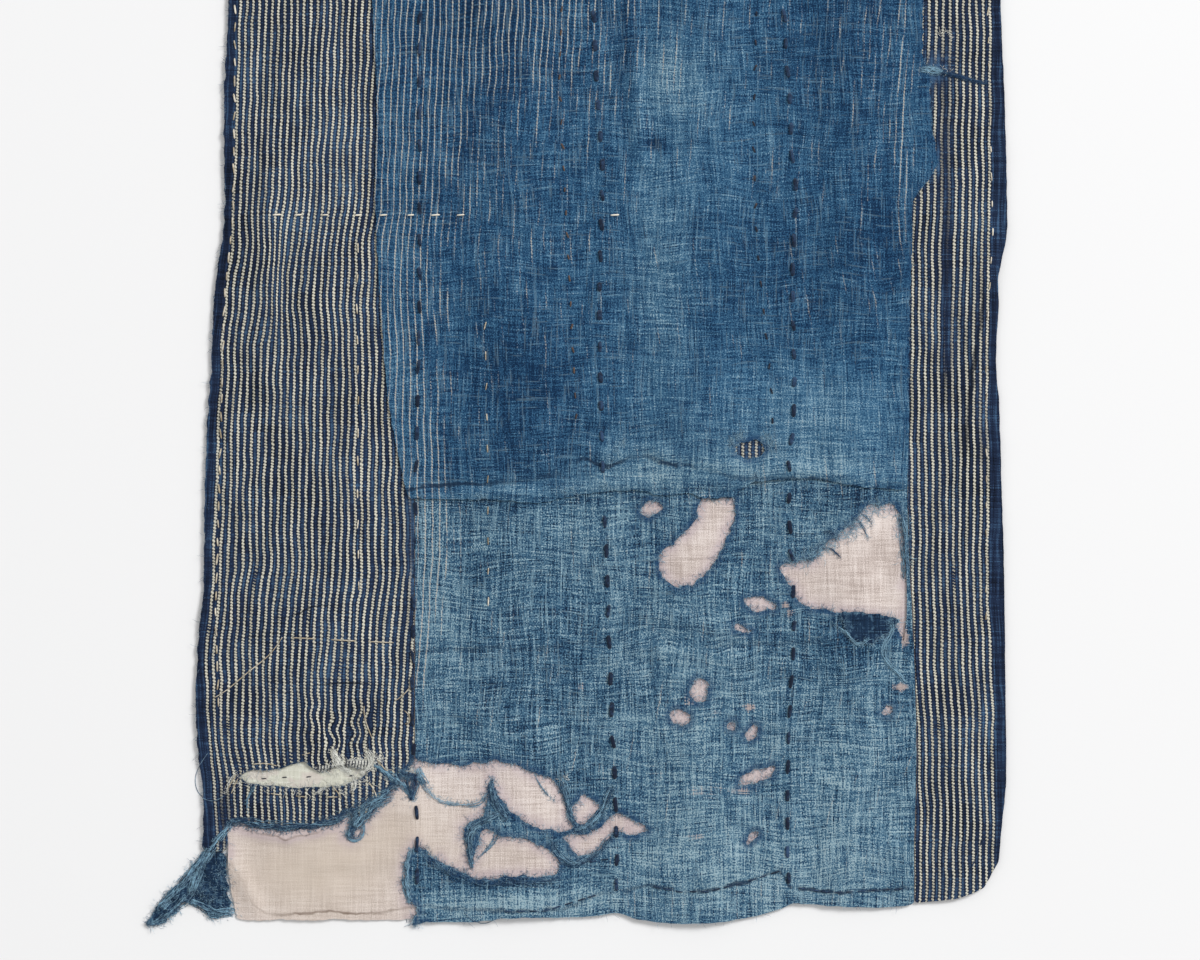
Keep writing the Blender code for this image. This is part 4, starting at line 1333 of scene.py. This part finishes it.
# Each row: widths at the start, middle and end, number of threads, darkest and lightest tone, then
# across, up along the strip.
STRIPS = (
    ((5, 5, 5.5), 44, -0.3, 0.7, (-229.4, 61), (-209.6, 60.6), (-192.2, 58.2), (-174.8, 59.6),
     (-162.4, 62.5), (-153.8, 67.5), (-142.6, 73.5), (-131.4, 80), (-122.8, 85)),
    ((7, 9, 6), 34, 0.1, 1.2, (-129, 78.1), (-141.4, 71.9), (-148.8, 65.1), (-152.5, 58.3)),
    ((3, 2.5, 3), 12, 0.2, 0.9, (-153.8, 60.8), (-156.9, 54.6), (-155.6, 50.8), (-151.9, 49),
     (-148.2, 50.8), (-146.3, 55.8), (-147.6, 60.8)),
    ((4.5, 2.6, 4.5), 16, 0.3, 1.2, (-113.5, 94.2), (-109.1, 84.9), (-104.2, 76.3), (-95.5, 72.5),
     (-85.6, 71.9), (-76.9, 71.9), (-71.9, 75), (-68.8, 81.8), (-66.3, 88)),
    ((2.5, 5, 6), 22, 0.0, 0.7, (-66.3, 87.4), (-67, 79.4), (-63.9, 70.7), (-57, 63.2)),
    ((6, 4, 1.5), 18, 0.1, 0.8, (-24.8, 94.2), (-22.9, 83.7), (-20.5, 72.5), (-16.1, 60.8)),
    ((2.5, 4, 5), 20, 0.0, 0.9, (-16.1, 56.4), (-7.4, 57), (0, 65.1), (5, 74.4), (8.1, 81.8)),
    ((3, 5, 1.5), 26, -0.1, 0.9, (-62, 67), (-70.7, 62), (-79.4, 58.3), (-81.2, 49.6), (-80, 39.7),
     (-79.4, 32.2)),
    ((3, 1.5, 0.5), 7, 0.0, 0.7, (-63.9, 58.9), (-63.9, 50.8), (-69.4, 44.6), (-75.6, 38.4)),
    ((1.4, 0.9, 0.8), 5, 0.2, 0.8, (-41.5, 92.5), (-37.2, 83.7), (-32.2, 77.5), (-27.9, 74.4)),
    ((2, 5, 1), 28, 0.0, 1.0, (-139.5, 96.7), (-129, 89.3), (-120.9, 83.1), (-115.3, 74.4)),
    ((10, 7, 1.5), 30, -0.3, 0.5, (-116.5, 92), (-116.3, 84), (-116.8, 74.5)),
    ((4, 6, 2), 22, -0.1, 0.6, (-125.2, 94.2), (-120.3, 88), (-112.8, 89.3), (-109.1, 84.3)),
    ((3, 4, 3), 20, 0.3, 1.0, (-116.6, 44.6), (-120.3, 33.5), (-120.9, 22.3), (-117.8, 10.5)),
    ((5, 6, 4), 16, -0.3, 0.6, (-111.6, 45.5), (-102.3, 36.5), (-89.9, 27.5), (-74.4, 23.8),
     (-58.9, 25), (-43.4, 23.8), (-24.8, 25)),
    ((3, 4, 3), 10, -0.2, 0.7, (-31, 50.8), (-27.3, 42.2), (-21.1, 36), (-15.5, 33.5), (0, 42.2),
     (6.2, 52.7), (11.2, 54.6)),
    ((1, 1.8, 1.2), 8, 0.6, 1.0, (143.8, 183.5), (151.9, 179.8), (155.6, 173), (161.2, 169.9),
     (164.9, 173.6)),
    ((2, 3, 1.5), 14, 0.5, 1.0, (179.2, 186), (182.3, 181), (177.3, 173.6), (174.8, 166.2),
     (177.9, 158.7), (183.5, 155), (188.5, 147.6)),
    ((0.8, 0.8, 0.6), 3, -0.1, 0.2, (137.6, 239.9), (142.6, 241.2), (147.6, 236.8)),
    ((1.2, 1.2, 0.6), 5, -0.1, 0.3, (140.1, 231.9), (145.1, 228.8), (149.4, 224.4)),
    ((0.8, 0.8, 0.4), 3, 0.0, 0.5, (156.2, 249.9), (162.4, 246.1), (166.2, 235.6)),
    ((0.8, 0.8, 0.4), 3, 0.2, 0.6, (160, 253), (165, 250.5), (168.6, 244.3)),
    ((1.5, 1.5, 1), 7, 0.2, 0.8, (127.7, 223.2), (136.4, 227.5), (139.1, 232.5)),
    ((4, 5, 4), 22, 0.1, 0.8, (186, 250), (189, 240), (188, 228), (190, 212)),
    ((2, 4.5, 4), 30, 0.1, 1.2, (-228.2, 59.5), (-234.4, 52.7), (-240.6, 45.3), (-244.9, 38.4),
     (-248.6, 31), (-251.7, 22.3), (-254.2, 16.7)),
    ((3, 6, 5), 30, 0.0, 1.2, (-246.1, 37.4), (-253, 30), (-260.4, 20.7), (-267.8, 13.3), (-272.8, 8.7)),
    ((3, 4.5, 1.5), 20, -0.1, 0.9, (-246.1, 29.8), (-249.9, 19.8), (-256.7, 12.4), (-264.1, 6.2),
     (-270.9, 1.9), (-276.5, -1.9), (-281, -3)),
    ((3, 6, 4), 30, 0.0, 1.1, (-254.4, 11.5), (-248, 10.5), (-240.6, 4.7), (-231.9, 6), (-226.7, 4)),
    ((1, 1, 1), 4, 0.3, 0.8, (-213.9, 83.7), (-218.9, 74.4), (-218.2, 67)),
    ((2, 3, 1.5), 20, -0.4, 0.3, (205, 526.5), (214, 524.5), (222, 522), (232, 519.5), (240, 518)),
    ((2.5, 5, 2), 20, 0.4, 1.0, (198, 527.5), (204, 526.5), (212, 525.2)),
)
shreds = Strands()
for n, (widths, count, dark, light, *points) in enumerate(STRIPS):
    frayed_strip(shreds, points, widths, count, dark, light, seed=200 + n)
shred_finish = thread_finish("shredded_indigo", (0.010, 0.042, 0.105), (0.26, 0.46, 0.60))
shreds.make("twisted_shreds", shred_finish)

# The mending stitches
# Running stitches of doubled indigo thread hold the layers together, and finer pale and brown
# ones mend them. Each is pulled down into the cloth at both of its ends.


EVENLY = ((0, 0),)
# Columns: place along the stitch from -1 to 1, how deep it is there in half heights of the thread.
STITCH_SHAPE = ((-1, 0.7), (-0.8, 0.1), (-0.4, -0.35), (0.1, -0.5), (0.6, -0.3), (0.85, 0.1), (1, 0.7))


def running_stitches(strands, points, pitch, length, wide, thick, tone, seed, sides=8, loose=0.12,
                     slips=EVENLY):
    """Sews along a line of across, up, with a stitch in the middle of every pitch. Slips are rows
    of up and of how far on the stitches there have come."""
    dice = np.random.default_rng(seed)
    line = np.array(points, dtype=float)
    run = lengths_along(line)
    upright = abs(line[0, 1] - line[-1, 1]) > abs(line[0, 0] - line[-1, 0])
    for n in range(int(run[-1] // pitch)):
        middle = (n + 0.5) * pitch + dice.normal(0, loose * 0.7 * length)
        middle += np.interp(np.interp(middle, run, line[:, 1]), *np.transpose(slips))
        half = length / 2 * dice.uniform(0.8, 1.15)
        stitch = []
        tilt = dice.normal(0, loose)
        for share, sunk in STITCH_SHAPE:
            place = middle + share * half
            x, y = (np.interp(place, run, line[:, axis]) for axis in (0, 1))
            x += tilt * share * half * upright
            stitch.append((x, y, height_at(x, y) + thick * 0.7 - sunk * thick))
        strands.add(stitch, wide * dice.uniform(0.85, 1.15), thick, tone + dice.normal(0, 0.15), sides, 0.55)


dark_stitches = Strands()
# Rows: up, how far on the stitches below the lap have come.
LEFT_SLIPS = ((136, 9.3), (200, 0))
MIDDLE_SLIPS = ((24, -1.5), (42, -5.3), (79, -7.4), (117, -6.3), (154, -4.2), (172, 0))
RIGHT_SLIPS = ((188, 0), (218, 9.7))
# Columns of the rows in SEWN: stitch length below the lap and above it, half width, slips.
SEWN_STITCHES = ((8.4, 7.5, 1.15, LEFT_SLIPS), (7.8, 6.4, 1.4, MIDDLE_SLIPS), (7.4, 7.0, 1.25, RIGHT_SLIPS))
LAP_UP = 272.0
for n, ((row, pitch), (low_length, high_length, half, slips)) in enumerate(zip(SEWN, SEWN_STITCHES)):
    at_lap = (float(along_seam(row, LAP_UP)), LAP_UP)
    low = [point for point in row if point[1] < LAP_UP] + [at_lap]
    high = [at_lap] + [point for point in row if point[1] > LAP_UP]
    running_stitches(dark_stitches, low, pitch, low_length, wide=half, thick=0.7, tone=0.2, seed=1 + n,
                     slips=slips)
    running_stitches(dark_stitches, high, pitch, high_length, wide=half, thick=0.7, tone=0.35,
                     seed=4 + n)
# Rows: across, up along the finer lines of dark sewing.
HEM_LINES = (
    ((-15.5, 35), (9.3, 39)), ((200, 23.5), (205, 23.5)), ((222, 23.5), (228, 24)),
    ((229, 31), (233, 40), (238.5, 56)), ((31, 21.7), (50, 18), (68, 18.6), (90, 24), (112, 31)),
    ((121, 20.5), (143, 17.4), (170, 19), (192, 19.8)), ((-60, 6.2), (-34, 6.2), (0, 16.7)),
)
for n, points in enumerate(HEM_LINES):
    running_stitches(dark_stitches, points, pitch=7.5, length=5.0, wide=0.42, thick=0.35, tone=0.4,
                     seed=20 + n, sides=6)
dark_finish = thread_finish("dark_thread", (0.005, 0.011, 0.028), (0.03, 0.07, 0.15))
dark_stitches.make("dark_stitches", dark_finish)

dim_stitches = Strands()
# Rows: across, up along two dotted lines of finer stitches on the upper cloth.
DOTTED_RIGHT = ((107, 302), (106, 331), (97, 420), (95, 486), (97, 570), (97, 745))
DOTTED_LEFT = ((-14.3, 305), (-20.5, 431), (-21.7, 451), (-25, 521), (-23.5, 570), (-23, 745))
running_stitches(dim_stitches, DOTTED_RIGHT, pitch=16.7, length=3.4, wide=0.6, thick=0.4, tone=0.2,
                 seed=41, sides=6, loose=0.3)
running_stitches(dim_stitches, DOTTED_LEFT, pitch=14.0, length=3.4, wide=0.6, thick=0.4, tone=0.7,
                 seed=42, sides=6, loose=0.3)
# Columns: across, up of the dashes that hold the pale patch.
PATCH_DASHES = ((-208, 88), (-195.2, 88.8), (-180.2, 89.1), (-153.8, 89.8))
for at_across, at_up in PATCH_DASHES:
    dash = ((at_across - 1.5, at_up), (at_across + 1.5, at_up + 0.2))
    lay_thread(dim_stitches, dash, wide=0.4, thick=0.3, tone=0.1, step=0.8)
# Columns: across of the first warp end bared at the slit, of the last one, up of their middle.
BARED_ENDS = ((-174.2, -165.3, 94.6), (-156.9, -143.3, 97.3))
BARED_STEP = 1.85
BARED_REACH = 2.2
for first, last, at_up in BARED_ENDS:
    for at_across in np.arange(first, last, BARED_STEP):
        foot, head = (at_across - 0.3, at_up - BARED_REACH), (at_across + 0.4, at_up + BARED_REACH)
        bared = (foot, (at_across, at_up), head)
        lay_thread(dim_stitches, bared, wide=0.42, thick=0.35, tone=0.05, lift=0.35, step=1.0)
dim_finish = thread_finish("brown_thread", (0.012, 0.018, 0.035), (0.12, 0.08, 0.06))
dim_stitches.make("brown_stitches", dim_finish)

pale_stitches = Strands()
# Each row: pitch, stitch length, half width, then across, up along the line.
PALE_LINES = (
    (19, 5.0, 0.42, (-69, 188), (-69.4, 285), (-71.3, 384)),
    (11, 6.0, 0.55, (-236, 130), (-238, 190), (-237, 223), (-232.5, 385), (-227, 437), (-226, 533),
     (-225, 745)),
    (19, 5.5, 0.5, (-149, 198), (-150, 260), (-149.4, 322), (-150.5, 384), (-149.4, 432)),
    (17, 4.5, 0.45, (239, 180), (239.3, 282), (238.7, 356), (243, 430), (240, 570), (240, 745)),
    (22, 15.0, 0.4, (-193, 175.5), (-127, 172)),
)
for n, (pitch, length, half, *points) in enumerate(PALE_LINES):
    running_stitches(pale_stitches, points, pitch, length, wide=half, thick=half * 0.8, tone=0.45,
                     seed=50 + n, sides=6, loose=0.1)
# Across of the middle of each stitch in one level white row, up of that row, half a stitch's room.
WHITE_STITCHES = (-199.6, -186.6, -170, -149.4, -134, -117, -101.7, -86.2, 9.3)
WHITE_UP = 436.5
WHITE_ROOM = 3.2
for n, at in enumerate(WHITE_STITCHES):
    room = ((at - WHITE_ROOM, WHITE_UP), (at + WHITE_ROOM, WHITE_UP + 0.4))
    running_stitches(pale_stitches, room, pitch=6.3, length=4.6, wide=0.5, thick=0.4, tone=1.0,
                     seed=70 + n, sides=6, loose=0.02)
# Rows: across, up along loose ends, knots and long slack stitches of pale thread.
PALE_ENDS = (
    ((-203.4, 79), (-197.2, 78)), ((-187.9, 77.5), (-181, 76.9)), ((-169.3, 76.9), (-162.4, 76.9)),
    ((-184.1, 102.9), (-179.2, 104.2)),
    ((-238.7, 138), (-230, 143), (-217, 155), (-204, 164), (-196.5, 175.5)),
    ((-127, 136), (-121, 140), (-116.5, 146), (-118, 147)),
    ((-121, 130), (-117, 127), (-118, 121), (-120.5, 122)),
    ((-230.6, 80.6), (-228, 86), (-225, 90.5)), ((-228, 79), (-226, 84), (-224, 88)),
    ((-146, 133), (-146, 126), (-143, 118), (-141, 113)), ((-215, 97), (-206, 98), (-200, 96)),
    ((-166, 84), (-162, 80), (-160, 76)), ((-138, 100), (-134, 95), (-131, 92)),
    ((-143, 86), (-139, 80), (-138, 76)),
)
for points in PALE_ENDS:
    lay_thread(pale_stitches, points, wide=0.36, thick=0.28, tone=0.35, lift=0.05, taper=0.7)
pale_finish = thread_finish("pale_thread", (0.27, 0.22, 0.145), (0.78, 0.73, 0.62))
pale_stitches.make("pale_stitches", pale_finish)

# The fluff of the slit and loose threads
# White weft ends stand out round the slit and its patch, and two long threads have come away in
# loops past the edges of the cloth.

fluff = Strands()
dice = np.random.default_rng(161)
# Columns: across, up, spread, how many ends.
FLUFF = (
    (-160, 96, 9, 60), (-168, 93, 5, 30), (-143, 97, 6, 70), (-139, 101, 4, 40), (-186, 82.5, 9, 26),
    (-205, 86, 8, 26), (-214, 91, 6, 20), (-160, 82, 8, 40), (-147, 86, 5, 30), (-221, 85, 4, 16),
    (208, 527, 5, 10), (212, 549, 4, 14), (-22, 88, 3, 14), (-116, 92, 3, 26),
)
for at_across, at_up, spread, count in FLUFF:
    for _ in range(count):
        place = np.array((at_across, at_up)) + dice.normal(0, (spread * 0.8, spread * 0.3))
        turn, length = dice.uniform(0, math.tau), dice.uniform(1.5, 4.5)
        reach = length * heading_to(turn)
        curl = np.array((-reach[1], reach[0])) * dice.normal(0, 0.25)
        route = (place, place + reach / 2 + curl, place + reach)
        lay_thread(fluff, route, wide=0.13, thick=0.1, tone=dice.uniform(0.3, 1), lift=0.3, sides=3,
                   step=1.0)
# Each row: widths, number of threads, then across, up along a torn pale strip.
PALE_STRIPS = (
    ((3, 5, 3), 20, (-165.5, 106.6), (-163.1, 100.4), (-158.1, 94.2), (-153.8, 91.8)),
    ((3, 4, 3), 18, (-145.1, 105.4), (-141.4, 101), (-143.8, 94.2), (-148.8, 91.1)),
    ((2.5, 2.5, 2), 9, (-152.5, 90.5), (-151.3, 83), (-153.8, 80.6)),
    ((2, 2, 1), 6, (-167.4, 85), (-172.4, 80.6), (-176.1, 78.7)),
    ((1, 1.4, 1), 4, (-225.1, 92.4), (-228.8, 86.8), (-231.3, 79.4)),
    ((3.5, 4, 3.5), 22, (-158, 96.6), (-150, 98), (-142, 97)), ((2.5, 3, 2), 12, (-175, 93.5), (-164, 95.5)),
    ((1.2, 1.2, 1), 5, (-135.8, 90), (-134.6, 90.6)), ((1.2, 1.2, 1), 5, (-132.8, 88), (-131.8, 88.6)),
)
for n, (widths, count, *points) in enumerate(PALE_STRIPS):
    frayed_strip(fluff, points, widths, count, dark=0.2, light=1.0, seed=170 + n)
fluff_finish = thread_finish("white_fluff", (0.45, 0.46, 0.42), (0.88, 0.88, 0.82))
fluff.make("slit_fluff", fluff_finish)

loose = Strands()
# Each row: across, up along one long thread.
LOOSE_THREADS = (
    ((-243, 103.5), (-250.5, 93), (-251.5, 84), (-248, 76), (-239, 73), (-233, 77)),
    ((-83.7, 5), (-77.5, -1.2), (-71, -3.1), (-64, 1.2), (-59, 3.1)),
)
for points in LOOSE_THREADS:
    lay_thread(loose, points, wide=0.2, thick=0.2, tone=0.5, sides=5, step=1.2, taper=0.8)
loose.make("loose_threads", navy_fray)

# The room
# A plain white surface under soft studio light, a little stronger from the right, and a camera
# straight above, as the cloth was photographed.

SURFACE_WHITE = (0.83, 0.83, 0.833, 1)
SURFACE_SIZE = 6.0
SKY_WHITE = (1, 1, 1, 1)
SKY_STRENGTH = 0.64
LAMP_PLACE = (6.4, 5.4, 6.4)
LAMP_SIZE = 3.2
LAMP_WATTS = 900.0
# How wide the photo is on the cloth, and up of its middle.
PHOTO_WIDTH = 744.0
PHOTO_MIDDLE_UP = 272.8
LENS = 85.0
SENSOR = 36.0

bpy.ops.object.select_all(action="DESELECT")
bpy.ops.mesh.primitive_plane_add(size=SURFACE_SIZE, location=(0, 0, 0))
floor = bpy.context.object
floor.name = "white_surface"
paint = bpy.data.materials.new("white_surface")
paint.use_nodes = True
white = paint.node_tree.nodes["Principled BSDF"]
white.inputs["Base Color"].default_value = SURFACE_WHITE
white.inputs["Roughness"].default_value = 0.9
white.inputs["Specular IOR Level"].default_value = 0.1
floor.data.materials.append(paint)

world = bpy.data.worlds.new("studio")
bpy.context.scene.world = world
world.use_nodes = True
sky = world.node_tree.nodes["Background"]
sky.inputs["Color"].default_value = SKY_WHITE
sky.inputs["Strength"].default_value = SKY_STRENGTH

lamp = bpy.data.lights.new("softbox", "AREA")
lamp.energy = LAMP_WATTS
lamp.size = LAMP_SIZE
softbox = bpy.data.objects.new("softbox", lamp)
softbox.location = LAMP_PLACE
softbox.rotation_euler = (-Vector(LAMP_PLACE)).to_track_quat("-Z", "Y").to_euler()
bpy.context.scene.collection.objects.link(softbox)

view = bpy.data.cameras.new("camera")
view.lens = LENS
view.sensor_width = SENSOR
view.clip_start = 0.05
camera = bpy.data.objects.new("camera", view)
camera.location = (0, (PHOTO_MIDDLE_UP - LENGTH / 2) * MM, PHOTO_WIDTH * MM * LENS / SENSOR)
bpy.context.scene.collection.objects.link(camera)
bpy.context.scene.camera = camera
bpy.context.scene.view_settings.view_transform = "Standard"
